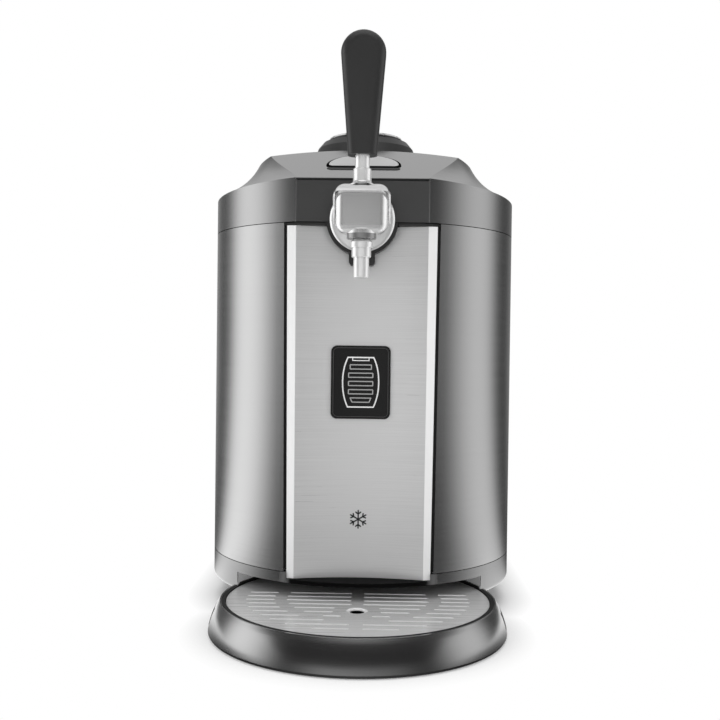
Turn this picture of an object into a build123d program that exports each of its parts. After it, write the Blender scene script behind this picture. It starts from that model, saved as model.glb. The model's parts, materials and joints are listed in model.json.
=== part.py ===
from build123d import *
import os
from math import acos, cos, degrees, radians, sin, sqrt, tan

# Mini keg beer dispenser. Millimetres, +X right, +Y back, +Z up.
# Shapes are drawn about the upright axis of the cabinet's round front, on the floor it stands on.
# save() then moves them along Y, so that the origin is the middle of the overall box's underside.

# ---------------------------------------------------------------- clearances
touch_gap = 0.2           # between pieces of one body that seat on each other
run_gap = 0.35            # between pieces that move past each other
pin_gap = 0.05            # radial, round hinge and pivot pins
seam_gap = 0.6            # visible joint line between shells

# ---------------------------------------------------------------- cabinet
body_r = 137.5            # radius of the round front, half the width
rear_y = 203.0            # flat rear face
rear_corner_r = 28.0
shell_t = 1.6             # side shell metal
base_bottom_z = 21.3
base_top_z = 45.8
body_top_z = 333.6
beyond = 3 * body_r       # past the whole cabinet, for cutting tools
base_wall = 3.0
base_edge_r = 4.0
opening_half = 0.76 * body_r   # tray opening in the base ring
opening_top_z = 37.3
ledge_t = 3.2             # shelf over the tray opening
rear_opening_half = 98.0  # gap between the side shells at the back

# ---------------------------------------------------------------- front panel
panel_half_top = 61.8
panel_half_bottom = panel_half_top - 2.5
strip_top = 7.5           # width of the folded side strips
strip_bottom = 6.0
panel_y = -body_r + 14.3  # the creases between the strips and the concave face
panel_dish = 7.0          # depth of the concave face
panel_strip_y = panel_y + 1.3    # outer edges of the strips
panel_t = 1.0
panel_return = 6.0        # the strips fold back this far
panel_top_z = 331.3
panel_side_gap = 2.6      # dark gap beside the panel
frame_t = 3.0             # black frame behind the panel

# ---------------------------------------------------------------- gauge window
window_w = 49.0
window_h = 60.5
window_z = 203.0
window_r = 5.0
window_t = 2.4
window_proud = 1.0
window_rim = 2.2
window_rim_proud = 0.7
board_t = 1.6

# ---------------------------------------------------------------- keg well
keg_y = -6.0
well_r = 88.5             # clears a 5 litre keg of 171 mm
well_floor_z = 60.0
liner_t = 1.5
liner_flange = 5.0
sleeve_t = 1.0
sleeve_rib = 2.6
sleeve_rib_w = 7.0
sleeve_ribs = 5
deck_t = 6.6
insulation_back_y = 100.0
lower_foam_z = 44.2

# ---------------------------------------------------------------- lid
lid_t = 3.0
facet_y = -body_r + 11.1  # flat front of the lid
lid_front_top_z = 370.0
lid_slope = 26.0          # degrees, front of the lid
lid_rear_slope = 40.0
lid_rear_top_z = 368.0
crown_top_z = 407.8
crown_r = 350.0
cove_y = -18.8            # centre of the round hollow in each flank
cove_path_r = body_r + 13.7
cove_r = 60.2
cove_z = 421.9
fascia_t = 2.0
fascia_lip = 1.2          # lid metal left above the front plate
fascia_top_gap = 0.8      # dark line under that lip
lid_inner_z = body_top_z + 2.4
lid_inner_t = 4.0
lid_inner_gap = 1.2       # inside the lid shell
pan_r = 84.0              # hollow in the lid liner over the well
pan_top_z = 356.0
pan_wall = 3.0
channel_half = 18.0       # hollow in the lid liner over the beer line
channel_top_z = 351.5
channel_wall = 2.5
channel_front_y = -body_r + 20.0
seal_w = 4.0
seal_mid_r = well_r + 2.6

# ---------------------------------------------------------------- hinge
hinge_y = rear_y + 5.2
hinge_z = body_top_z + 0.3
knuckle_r = 4.6
hinge_pin_r = 2.0
knuckle_len = 14.0
hinge_x = 60.0
hinge_leaf_t = 2.0
hinge_leaf_h = 16.0

# ---------------------------------------------------------------- lid button
button_half = 29.4
button_rise = 33.0        # straight edge to the top of the arc, up the slope
button_foot_y = facet_y + 31.0
button_gap = 2.3
button_front_gap = 5.6
button_t = 6.0
button_proud = 0.6
button_corner_r = 4.0
leg_x = 23.0
leg_w = 7.0
leg_t = 3.0
leg_y = button_foot_y - 2.5
toe = 2.4
toe_h = 2.6
leg_bottom_z = 337.4
leg_step_z = 344.0        # the legs step forward here, above the liner
leg_step_t = 3.0
leg_guide_gap = 0.45      # the legs run in slots of the lid's inner plate
keeper_t = 3.0
seal_break_half = leg_x + leg_w / 2 + 2.5   # the seal is open between the latch legs

# ---------------------------------------------------------------- dial
dial_y = 0.0
skirt_base_r = 49.0
skirt_mid_r = 44.5
skirt_mid_z = 417.0
skirt_top_r = 39.5
skirt_top_z = 423.0
dial_r = 33.8
dial_edge_z = 427.4
dial_top_z = 430.6
dial_grips = 12
dial_grip_r = 1.6
spindle_r = 4.0
regulator_r = 17.0
regulator_top_z = 396.0

# ---------------------------------------------------------------- tap
tap_z = body_top_z + 2.2
tap_y = -body_r - 20.5    # axis of the drum, and of the lever's pivots
drum_r = 20.0
drum_half = 20.4
drum_edge_r = 5.0
drum_flat = 13.2          # the flat front face, before the axis
drum_flat_r = 5.2         # rounding of the flat's upper and lower edges
drum_low = 15.0           # level underside, below the axis
flange_r = 26.6
flange_back_y = -body_r + 7.5
flange_t = 5.0
neck_r = 13.5
bezel_r = 29.4
bezel_front_y = -body_r + 7.9
bezel_back_y = -body_r + 24.5
collar_bezel_r = flange_r - 0.6    # upper half, hidden behind the flange
bezel_tab_half = 10.6
bezel_tab_z = 298.8
bezel_notch_gap = 1.0
shank_r = 8.0
shank_back_y = -body_r + 49.5
nut_r = 12.0
nut_t = 5.0
washer_t = 1.5
spout_y = tap_y - 1.5
spout_boss_r = 11.6
spout_boss_top_z = tap_z - 12.6
spout_boss_z = tap_z - 19.3
spout_neck_r = 6.4
collar_top_z = spout_boss_z - 2.4
collar_r = 8.9
collar_z = collar_top_z - 4.8
ring_r = 7.6
ring_z = collar_z - 7.2
nozzle_r = 6.1
nozzle_bore_r = 4.6
nozzle_z = 286.4

# ---------------------------------------------------------------- tap lever
yoke_in_r = drum_r + 0.9
yoke_out_r = 24.0
yoke_half = 22.4
yoke_arm_t = 1.5
yoke_span = 34.0          # degrees each side of upright
yoke_shoulder_r = 9.5
yoke_flare_r = 3.4
yoke_eye_r = 7.5          # round end of each arm, at the pivot
stem_low_r = 7.2
stem_low_z = 371.0
stem_high_r = 5.8
handle_z = 382.0
handle_top_z = 478.5
handle_half_low = 11.4
handle_half_high = 17.6
handle_depth_low = 9.0
handle_depth_high = 12.0
handle_round = 7.5
pivot_r = 2.5
pivot_depth = 8.0

# ---------------------------------------------------------------- beer line
line_r = 4.0
line_wall = 1.2
line_bend_r = 12.0
coupler_z = 306.0
coupler_r = 13.0

# ---------------------------------------------------------------- drip tray
tray_y = -body_r + 13.3
tray_foot_r = body_r - 15.7
tray_mid_r = tray_foot_r - 3.0
tray_mid_z = 14.0
tray_top_r = tray_foot_r - 9.2
tray_top_z = 26.4
tray_wall = 2.2
tray_floor_t = 2.0
tray_ground_gap = 0.3
tray_body_gap = 1.2       # round the cabinet's side
tray_side_gap = 0.9       # at the sides of the opening
tray_foot_edge = 2.6      # rounding under the tray's wall
tub_front_y = -46.0
tray_back_y = tub_front_y - 1.5
bowl_rim_r = tray_top_r - 1.6
bowl_r = bowl_rim_r - 3.1
bowl_t = 1.6
bowl_step = 1.2           # the rim stands out from the bowl's wall
bowl_rim_t = 2.8
bowl_back_gap = 2.5
shelf_t = 2.0
bowl_floor_z = 3.2
grille_gap = 0.5
grille_r = bowl_r - grille_gap
grille_back_y = tray_back_y - tray_wall - 2.7
grille_z = 23.9
grille_t = 1.5
grille_ledge = 4.0
slot_w = 3.4
slot_pitch = 11.1
slot_first_y = tray_y + 14.2
slot_field_r = grille_r - 15.9
slot_rows = int((slot_first_y - tray_y + slot_field_r) / slot_pitch) + 1
blank_ring_in = 58.5
blank_ring_out = 68.0
blank_bar_half = 5.0
drain_y = tray_y - 37.5
drain_r = 6.0
drain_blank_r = 19.0
drain_boss_r = 8.5
grip_half = 17.0
grip_low_z = 6.0
grip_high_z = 19.5
grip_proud = 0.2
grip_depth = 0.6

# ---------------------------------------------------------------- base pan and feet
pan_t = 2.5
tub_half = 98.0
tub_back_y = 194.0
tub_floor_z = 8.0
tub_corner_r = 8.0
foot_r = 10.0
foot_pin_r = 2.8
foot_x = 80.0
foot_front_y = -28.0
foot_back_y = 178.0

# ---------------------------------------------------------------- cooling
compressor_x = -52.0
compressor_y = 150.0
compressor_r = 33.5
compressor_low_z = 24.0
compressor_h = 88.0
mount_half = 40.0
mount_t = 2.5
grommet_r = 6.5
grommet_neck_r = 4.0
condenser_x = 36.0
condenser_y = 150.0
condenser_w = 92.0
condenser_h = 108.0
condenser_d = 26.0
condenser_low_z = 30.0
fin_t = 0.8
fin_pitch = 9.0
tube_r = 3.0
tube_rows = 4
fan_y = 178.0
fan_frame_half = 46.0
fan_frame_t = 20.0
fan_z = 84.0
fan_r = 41.0
fan_hub_r = 14.0
fan_shaft_r = 2.5
fan_blades = 7
blade_t = 1.4
drier_r = 8.0
drier_len = 80.0
line_pipe_r = 2.6
pipe_bend_r = 9.0
capillary_r = 1.4
stub_x = 20.0             # inlet and outlet stubs on the condenser

# ---------------------------------------------------------------- electrics and rear cover
cover_t = 2.4
cover_low_z = 47.0
cover_high_z = 326.0
louvre_w = 84.0
louvre_h = 3.6
louvre_pitch = 9.5
louvre_rows = 9
louvre_low_z = 48.0 + 8.0
vent_rows = 6
vent_low_z = 246.0
inlet_x = -62.0
inlet_z = 150.0
inlet_w = 27.0
inlet_h = 20.0
inlet_depth = 22.0
inlet_flange = 3.5
switch_z = 184.0
switch_w = 21.0
switch_h = 15.0
switch_depth = 16.0
rocker_swing = 6.0        # degrees each side of level
rocker_side_gap = 2.7
screw_r = 2.0
screw_head_r = 3.8
screw_head_t = 1.6
screw_x = 102.0
screw_rows = (70.0, 190.0, 312.0)

lid_bottom_z = body_top_z + seam_gap
front_reach = -(tray_y - tray_foot_r)
rear_reach = hinge_y + knuckle_r
frame_shift = (front_reach - rear_reach) / 2


# ---------------------------------------------------------------- helpers
def save(name, *pieces):
    """Write the pieces of one node, moved into the part's frame."""
    solids = [solid for piece in pieces for solid in (Pos(0, frame_shift, 0) * piece).solids()]
    export_step(solids[0] if len(solids) == 1 else Compound(children=solids), f"parts/{name}.step")


def prism(sketch, low_z, high_z):
    """A sketch in the XY plane, pushed up from low_z to high_z."""
    return Pos(0, 0, low_z) * extrude(sketch, high_z - low_z)


def block(x0, x1, y0, y1, z0, z1):
    """A box between two corners."""
    return Pos((x0 + x1) / 2, (y0 + y1) / 2, (z0 + z1) / 2) * Box(x1 - x0, y1 - y0, z1 - z0)


def post(x, y, radius, z0, z1):
    """An upright cylinder."""
    return Pos(x, y, (z0 + z1) / 2) * Cylinder(radius, z1 - z0)


def bar_x(y, z, radius, x0, x1):
    """A cylinder along X."""
    return Pos((x0 + x1) / 2, y, z) * Rot(0, 90, 0) * Cylinder(radius, x1 - x0)


def bar_y(x, z, radius, y0, y1):
    """A cylinder along Y."""
    return Pos(x, (y0 + y1) / 2, z) * Rot(90, 0, 0) * Cylinder(radius, y1 - y0)


def turned(points, x=0.0, y=0.0):
    """A profile of (radius, z) corners turned about an upright axis."""
    face = Plane.XZ * make_face(Polyline(*points, close=True))
    return Pos(x, y, 0) * revolve(face, Axis.Z)


def turned_y(points, x, z):
    """A profile of (radius, y) corners turned about an axis along Y."""
    face = make_face(Polyline(*points, close=True))
    return Pos(x, 0, z) * revolve(face, Axis.Y)


def cabinet_plan(inset=0.0):
    """The cabinet from above: a round front, straight sides and rounded rear corners."""
    radius = body_r - inset
    back = rear_y - inset
    plan = Circle(radius) + Pos(0, back / 2) * Rectangle(2 * radius, back)
    corners = plan.vertices().filter_by_position(Axis.Y, back - 0.01, back + 0.01)
    return fillet(corners, rear_corner_r - inset)


# ---------------------------------------------------------------- body shells
def front_wedge(extra=0.0, low=base_bottom_z - 1, high=lid_bottom_z + 1):
    """The space of the tapered front panel, out through the front."""
    def half(z):
        share = (z - base_top_z) / (panel_top_z - base_top_z)
        return panel_half_bottom + (panel_half_top - panel_half_bottom) * share + extra
    outline = Polyline((-half(low), low), (half(low), low), (half(high), high), (-half(high), high),
                       close=True)
    return Pos(0, -body_r / 2, 0) * extrude(Plane.XZ * make_face(outline), body_r)


def side_shells():
    wall = cabinet_plan() - cabinet_plan(shell_t)
    shell = prism(wall, base_top_z + seam_gap, body_top_z)
    shell -= front_wedge(panel_side_gap)
    shell -= block(-rear_opening_half, rear_opening_half, 0, rear_y + 1, 0, body_top_z + 1)
    for x, z in screw_places():
        shell -= bar_y(x, z, screw_r + touch_gap, rear_y - 5, rear_y + 1)
    wide = body_r + 1
    left = shell & block(-wide, 0, -wide, rear_y + 1, 0, body_top_z + 1)
    right = shell & block(0, wide, -wide, rear_y + 1, 0, body_top_z + 1)
    save("left_side_shell", left)
    save("right_side_shell", right)


def base_ring():
    ledge_top_z = opening_top_z + ledge_t
    outer = prism(cabinet_plan(), base_bottom_z, base_top_z)
    edges = outer.edges().group_by(Axis.Z)[0]
    outer = fillet(edges, base_edge_r)
    hollow = prism(cabinet_plan(base_wall), base_bottom_z - 1, base_top_z + 1)
    ledge = prism(cabinet_plan(), opening_top_z, ledge_top_z)
    ledge &= block(-opening_half - base_wall, opening_half + base_wall, -body_r, panel_y + 18,
                   0, base_top_z)
    ring = outer - hollow + ledge
    ring -= block(-opening_half, opening_half, -body_r - 1, 0, 0, opening_top_z)
    ring -= front_wedge(touch_gap, ledge_top_z, base_top_z + 1)
    save("base_ring", ring)


def dish_radius():
    """Radius of the panel's concave face, from its chord and depth."""
    half = panel_half_top - strip_top
    return (half ** 2 + panel_dish ** 2) / (2 * panel_dish)


def panel_section(half, strip, thickness):
    """The folded sheet from above: dished face, two strips and two returns."""
    crease = half - strip
    mid_y = panel_y + panel_dish
    back = panel_strip_y + panel_return
    tilt = (panel_strip_y - panel_y) / strip
    face_line = ThreePointArc((-crease, panel_y), (0, mid_y), (crease, panel_y))
    front = [face_line, Line((crease, panel_y), (half, panel_strip_y)),
             Line((half, panel_strip_y), (half, back)),
             Line((half, back), (half - thickness, back)),
             Line((half - thickness, back), (half - thickness, panel_strip_y + thickness)),
             Line((half - thickness, panel_strip_y + thickness),
                  (crease - tilt, panel_y + thickness))]
    behind = [ThreePointArc((crease - tilt, panel_y + thickness), (0, mid_y + thickness),
                            (-crease + tilt, panel_y + thickness)),
              Line((-crease + tilt, panel_y + thickness),
                   (-half + thickness, panel_strip_y + thickness)),
              Line((-half + thickness, panel_strip_y + thickness), (-half + thickness, back)),
              Line((-half + thickness, back), (-half, back)),
              Line((-half, back), (-half, panel_strip_y)),
              Line((-half, panel_strip_y), (-crease, panel_y))]
    return make_face(front + behind)


def dish_band(near, far, half, low_z, high_z):
    """A slab that follows the panel's concave face, from near to far behind its front."""
    radius = dish_radius()
    centre_y = panel_y + panel_dish - radius
    band = Circle(radius + far) - Circle(radius + near)
    band = Pos(0, centre_y) * band
    band &= Pos(0, panel_y) * Rectangle(2 * half, body_r / 2)
    return prism(band, low_z, high_z)


def window_block(grow, near, far):
    """The gauge window's outline, pushed along Y and trimmed to a band of the panel."""
    outline = Pos(0, window_z) * RectangleRounded(window_w + 2 * grow, window_h + 2 * grow,
                                                  window_r + grow)
    tool = Pos(0, -body_r / 2, 0) * extrude(Plane.XZ * outline, body_r)
    return tool & dish_band(near, far, window_w, window_z - window_h, window_z + window_h)


def front_panel():
    low = opening_top_z + ledge_t + touch_gap
    panel = loft([Pos(0, 0, low) * panel_section(panel_half_bottom, strip_bottom, panel_t),
                  Pos(0, 0, panel_top_z) * panel_section(panel_half_top, strip_top, panel_t)],
                 ruled=True)
    panel -= window_block(-2.0, -5, 8)
    panel -= bar_y(0, tap_z, shank_r + 4 * touch_gap, -body_r, 0)
    save("front_panel", panel)


def front_frame():
    near = panel_t + touch_gap
    inner = panel_half_bottom - strip_bottom - 1.5
    low, high = base_top_z + seam_gap, panel_top_z
    frame = dish_band(near, near + frame_t, inner, low, high)
    flange_y = panel_strip_y + panel_return + 3 * touch_gap
    for side in (-1, 1):
        web = block(*sorted((side * (inner - frame_t), side * inner)), panel_y, flange_y + frame_t,
                    low, high)
        frame += web - dish_band(-60, near, body_r, 0, body_top_z)
        outer = panel_half_top + panel_side_gap + 5
        frame += block(*sorted((side * (inner - frame_t), side * outer)), flange_y,
                       flange_y + frame_t, low, high)
    frame -= window_block(-2.0, -5, 12)
    frame -= bar_y(0, tap_z, nut_r + 1, -body_r, 0)
    save("front_frame", frame)


def gauge_window():
    lens = window_block(0, -window_proud, -touch_gap)
    plug = window_block(-2.0 - touch_gap, -touch_gap - 0.01, window_t)
    rim = window_block(0, -window_proud - window_rim_proud, -window_proud)
    rim -= window_block(-window_rim, -10, 10)
    save("gauge_window", lens + plug + rim)
    board = block(-window_w / 2 + 4, window_w / 2 - 4,
                  panel_y + panel_dish + window_t + 0.6,
                  panel_y + panel_dish + window_t + 0.6 + board_t,
                  window_z - window_h / 2 + 4, window_z + window_h / 2 - 4)
    save("gauge_board", board)


# ---------------------------------------------------------------- keg well
def keg_well():
    deck_low_z = body_top_z - deck_t
    flange_top = deck_low_z - touch_gap
    outer_r = well_r + liner_t
    liner = turned([(0, well_floor_z - liner_t), (outer_r, well_floor_z - liner_t),
                    (outer_r, flange_top - liner_t), (outer_r + liner_flange, flange_top - liner_t),
                    (outer_r + liner_flange, flange_top), (well_r, flange_top),
                    (well_r, well_floor_z), (0, well_floor_z)], 0, keg_y)
    save("keg_liner", liner)

    sleeve_in = outer_r + touch_gap
    low = well_floor_z + 8
    high = flange_top - 20
    sleeve = post(0, keg_y, sleeve_in + sleeve_t, low, high)
    pitch = (high - low) / sleeve_ribs
    for row in range(sleeve_ribs):
        rib_z = low + pitch * (row + 0.5)
        sleeve += post(0, keg_y, sleeve_in + sleeve_rib, rib_z - sleeve_rib_w / 2,
                       rib_z + sleeve_rib_w / 2)
    sleeve -= post(0, keg_y, sleeve_in, low - 1, high + 1)
    save("cooling_sleeve", sleeve)

    foam = prism(cabinet_plan(shell_t + touch_gap), lower_foam_z, flange_top - liner_t - touch_gap)
    foam &= block(-body_r, body_r, -body_r, insulation_back_y, 0, body_top_z)
    pocket_y = panel_y + panel_dish + window_t + board_t + 1.4
    foam -= block(-panel_half_top - 9, panel_half_top + 9, -body_r, pocket_y, 0, body_top_z)
    foam -= prism(Circle(body_r) - Circle(body_r - base_wall - touch_gap), 0,
                  base_top_z + seam_gap)
    foam -= block(-body_r, -body_r + base_wall + touch_gap, 0, rear_y, 0, base_top_z + seam_gap)
    foam -= block(body_r - base_wall - touch_gap, body_r, 0, rear_y, 0, base_top_z + seam_gap)
    foam -= post(0, keg_y, outer_r + sleeve_rib + 2 * touch_gap, well_floor_z - liner_t - touch_gap,
                 body_top_z)
    foam -= bar_y(0, tap_z, nut_r + 1, -body_r, keg_y)
    save("insulation", foam)


def top_deck():
    deck_low_z = body_top_z - deck_t
    deck = prism(cabinet_plan(shell_t + touch_gap), deck_low_z, body_top_z)
    deck -= block(-body_r, body_r, -body_r, facet_y + 0.8, 0, body_top_z + 1)
    under_lip = block(-panel_half_top - 9, panel_half_top + 9, -body_r,
                      panel_strip_y + panel_return + frame_t + 1.2, 0, panel_top_z + touch_gap)
    deck -= under_lip
    deck -= post(0, keg_y, well_r, 0, body_top_z + 1)
    pocket = bezel_r + touch_gap
    deck -= block(-pocket, pocket, -body_r, bezel_back_y + touch_gap, 0, body_top_z + 1)
    deck -= bar_y(0, tap_z, nut_r + 1, -body_r, keg_y)
    for side in (-1, 1):
        keeper_y = leg_y - leg_t - toe - run_gap
        x = side * leg_x
        keeper = block(x - leg_w / 2, x + leg_w / 2, keeper_y - 2 * keeper_t, keeper_y - keeper_t,
                       body_top_z, leg_bottom_z + toe_h + 4.5)
        keeper += block(x - leg_w / 2, x + leg_w / 2, keeper_y - keeper_t, keeper_y,
                        leg_bottom_z + toe_h + 1.5, leg_bottom_z + toe_h + 4.5)
        deck += keeper
    save("top_deck", deck)


# ---------------------------------------------------------------- lid
def cove(radius):
    """The round hollow along both flanks and round the front, as a tool."""
    back_y = rear_y + 10
    path = Wire([Edge.make_line((-cove_path_r, back_y, cove_z), (-cove_path_r, cove_y, cove_z)),
                 Edge.make_three_point_arc((-cove_path_r, cove_y, cove_z),
                                           (0, cove_y - cove_path_r, cove_z),
                                           (cove_path_r, cove_y, cove_z)),
                 Edge.make_line((cove_path_r, cove_y, cove_z), (cove_path_r, back_y, cove_z))])
    start = Plane(origin=(-cove_path_r, back_y, cove_z), z_dir=(0, -1, 0))
    return sweep(start * Circle(radius), path)


def lid_form(inset):
    """The lid's outside, moved in by a wall thickness."""
    low = lid_bottom_z - (2 * inset if inset else 0)
    form = prism(cabinet_plan(inset), low, crown_top_z + 2)
    form -= block(-body_r, body_r, -body_r - 1, facet_y + inset, 0, crown_top_z + 9)
    crown = Pos(0, 0, crown_top_z - crown_r) * Rot(90, 0, 0) * Cylinder(crown_r - inset, 2 * beyond)
    form &= crown
    slope = radians(lid_slope)
    plane = Plane(origin=(0, facet_y + inset * sin(slope), lid_front_top_z - inset * cos(slope)),
                  x_dir=(1, 0, 0), z_dir=(0, -sin(slope), cos(slope)))
    form -= plane * Pos(0, body_r / 2, body_r / 2) * Box(beyond, 2 * body_r, body_r)
    fall = radians(lid_rear_slope)
    plane = Plane(origin=(0, rear_y - inset * sin(fall), lid_rear_top_z - inset * cos(fall)),
                  x_dir=(1, 0, 0), z_dir=(0, sin(fall), cos(fall)))
    form -= plane * Pos(0, 0, body_r / 2) * Box(beyond, beyond, body_r)
    form -= cove(cove_r + inset)
    return form


def slope_plane(y):
    """A plane on the lid's front slope, its X along the part's X and its Y up the slope."""
    slope = radians(lid_slope)
    z = lid_front_top_z + (y - facet_y) * tan(slope)
    return Plane(origin=(0, y, z), x_dir=(1, 0, 0), z_dir=(0, -sin(slope), cos(slope)))


def below_slope(depth):
    """All that lies deeper than this under the lid's front slope."""
    return slope_plane(facet_y) * Pos(0, 0, -beyond / 2 - depth) * Box(beyond, beyond, beyond)


def button_outline():
    """The D of the lid button on the slope, its straight edge at the origin."""
    arc_r = (button_half ** 2 + button_rise ** 2) / (2 * button_rise)
    shape = Pos(0, button_rise - arc_r) * Circle(arc_r) & Pos(0, button_rise) * Rectangle(
        4 * button_half, 2 * button_rise)
    return fillet(shape.vertices().group_by(Axis.Y)[0], button_corner_r)


def button_hole():
    """The opening for the button: a thin gap round the arc, a wider one at the straight edge."""
    hole = offset(button_outline(), button_gap)
    return hole + Pos(0, button_gap - button_front_gap) * hole


def bezel_notch():
    """The half-round space that the tap's bezel takes out of the lid's front."""
    r = collar_bezel_r + bezel_notch_gap
    notch = bar_y(0, tap_z, r, -body_r - 2, bezel_back_y + 2)
    return notch + block(-r, r, -body_r - 2, bezel_back_y + 2, lid_bottom_z - 20, tap_z)


def lid():
    facet_half = sqrt(body_r ** 2 - facet_y ** 2)
    pocket_y = facet_y + fascia_t + touch_gap
    cavity = lid_form(lid_t) - block(-facet_half - lid_t, facet_half + lid_t, -body_r,
                                     pocket_y + lid_t, 0, crown_top_z)
    shell = lid_form(0) - cavity
    pocket = block(-facet_half - 1, facet_half + 1, -body_r, pocket_y, 0, crown_top_z)
    shell -= pocket & below_slope(fascia_lip)
    plane = slope_plane(button_foot_y)
    shell -= plane * extrude(button_hole(), 2 * button_t, both=True)
    shell -= bezel_notch()
    shell -= post(0, dial_y, spindle_r + run_gap, crown_top_z - 20, crown_top_z + 9)
    for side in (-1, 1):
        shell += hinge_leaf(side * hinge_x, True)
    save("lid_shell", shell)

    fascia = block(-facet_half, facet_half, facet_y, facet_y + fascia_t, lid_bottom_z,
                   lid_front_top_z + 5)
    fascia &= below_slope(fascia_lip + fascia_top_gap)
    fascia -= bezel_notch()
    save("lid_fascia", fascia)


def lid_liner():
    edge = lid_t + lid_inner_gap
    top = lid_inner_z + lid_inner_t
    plate = prism(cabinet_plan(edge), lid_inner_z, top)
    plate -= block(-body_r, body_r, -body_r, channel_front_y - 2, 0, top + 1)
    plate += post(0, keg_y, pan_r, lid_inner_z, pan_top_z)
    plate += block(-channel_half, channel_half, channel_front_y, keg_y, lid_inner_z, channel_top_z)
    hollow = post(0, keg_y, pan_r - pan_wall, lid_inner_z - 1, pan_top_z - pan_wall)
    hollow += block(-channel_half + channel_wall, channel_half - channel_wall, -body_r, keg_y,
                    lid_inner_z - 1, channel_top_z - channel_wall)
    plate -= hollow
    pocket = bezel_r + bezel_notch_gap
    plate -= block(-pocket, pocket, -body_r, bezel_back_y + bezel_notch_gap, 0, pan_top_z)
    for side in (-1, 1):
        x = side * leg_x
        plate -= block(x - leg_w / 2 - leg_guide_gap, x + leg_w / 2 + leg_guide_gap,
                       leg_y - leg_t - toe - 2 * keeper_t - 2, leg_y + 4, 0, pan_top_z)
    save("lid_liner", plate)

    foam = lid_form(lid_t + touch_gap)
    foam &= block(-body_r, body_r, button_foot_y + button_rise + lid_t, rear_y, pan_top_z + touch_gap, crown_top_z)
    foam -= post(0, dial_y, regulator_r + touch_gap, 0, regulator_top_z + touch_gap)
    foam -= post(0, dial_y, spindle_r + run_gap + 1, 0, crown_top_z)
    save("lid_foam", foam)

    ring = Circle(seal_mid_r + seal_w / 2) - Circle(seal_mid_r - seal_w / 2)
    ring -= Pos(0, -seal_mid_r) * Rectangle(2 * seal_break_half, seal_mid_r)
    seal = Pos(0, keg_y, 0) * prism(ring, body_top_z + run_gap, lid_inner_z)
    save("lid_seal", seal)


def hinge_leaf(x, on_lid):
    """One leaf with its knuckle: the lid has the middle knuckle, the body the outer two."""
    half = knuckle_len / 2
    if on_lid:
        spans = [(x - half, x + half)]
        back = rear_y
        low, high = lid_bottom_z, hinge_z + hinge_leaf_h
        strap_low, strap_high = lid_bottom_z, hinge_z + knuckle_r
    else:
        spans = [(x - 2 * half - run_gap, x - half - run_gap), (x + half + run_gap, x + 2 * half + run_gap)]
        back = rear_y + touch_gap
        low, high = hinge_z - hinge_leaf_h, body_top_z
        strap_low, strap_high = hinge_z - knuckle_r, body_top_z
    leaf = Part()
    for x0, x1 in spans:
        leaf += bar_x(hinge_y, hinge_z, knuckle_r, x0, x1)
        leaf += block(x0, x1, back, hinge_y, strap_low, strap_high)
        leaf += block(x0, x1, back, back + hinge_leaf_t, low, high)
    if not on_lid:
        leaf += block(spans[0][0], spans[1][1], back, back + hinge_leaf_t, low - 8, low)
    return leaf - bar_x(hinge_y, hinge_z, hinge_pin_r + pin_gap, x - 30, x + 30)


def body_hinges():
    save("body_hinges", *[hinge_leaf(side * hinge_x, False) for side in (-1, 1)])
    reach = knuckle_len + run_gap
    pins = [bar_x(hinge_y, hinge_z, hinge_pin_r, side * hinge_x - reach, side * hinge_x + reach)
            for side in (-1, 1)]
    save("hinge_pins", *pins)


def lid_button():
    plane = slope_plane(button_foot_y)
    cap = plane * Pos(0, 0, button_proud - button_t) * extrude(button_outline(), button_t)
    slope = radians(lid_slope)
    hook_z = lid_front_top_z + (leg_y - facet_y) * tan(slope)
    stem_y = leg_y + 4
    for side in (-1, 1):
        x = side * leg_x
        shank = block(x - leg_w / 2, x + leg_w / 2, button_foot_y + 2, button_foot_y + 2 + leg_t,
                      leg_step_z + leg_step_t / 2, hook_z)
        step = block(x - leg_w / 2, x + leg_w / 2, leg_y - leg_t, button_foot_y + 2 + leg_t,
                     leg_step_z, leg_step_z + leg_step_t)
        leg = block(x - leg_w / 2, x + leg_w / 2, leg_y - leg_t, leg_y, leg_bottom_z,
                    leg_step_z + leg_step_t)
        toe_piece = block(x - leg_w / 2, x + leg_w / 2, leg_y - leg_t - toe, leg_y,
                          leg_bottom_z, leg_bottom_z + toe_h)
        cap += shank + step + leg + toe_piece
    save("lid_button", cap)


def dial():
    base_z = crown_top_z - (crown_r - sqrt(crown_r ** 2 - skirt_base_r ** 2))
    skirt = turned([(spindle_r + run_gap, base_z - 1), (skirt_base_r, base_z - 1),
                    (skirt_base_r - 1.2, base_z + 4), (skirt_mid_r, skirt_mid_z),
                    (skirt_top_r, skirt_top_z), (spindle_r + run_gap, skirt_top_z)], 0, dial_y)
    skirt -= Pos(0, 0, touch_gap) * lid_form(0)
    save("dial_skirt", skirt)

    low = skirt_top_z + run_gap
    cap = turned([(0, low), (dial_r, low), (dial_r, dial_edge_z), (dial_r - 2.4, dial_edge_z + 1.2),
                  (dial_r * 0.55, dial_top_z - 0.5), (0, dial_top_z)], 0, dial_y)
    for index in range(dial_grips):
        turn = Rot(0, 0, index * 360 / dial_grips)
        cap -= Pos(0, dial_y, 0) * turn * post(dial_r + 0.5, 0, dial_grip_r, low - 1, dial_edge_z)
    spindle = post(0, dial_y, spindle_r, regulator_top_z + run_gap, low + 1)
    save("dial_cap", cap + spindle)

    regulator = turned([(0, pan_top_z + touch_gap), (regulator_r - 4, pan_top_z + touch_gap),
                        (regulator_r - 4, pan_top_z + 10), (regulator_r, pan_top_z + 12),
                        (regulator_r, regulator_top_z - 6), (regulator_r - 5, regulator_top_z),
                        (0, regulator_top_z)], 0, dial_y)
    save("gas_regulator", regulator)


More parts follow.
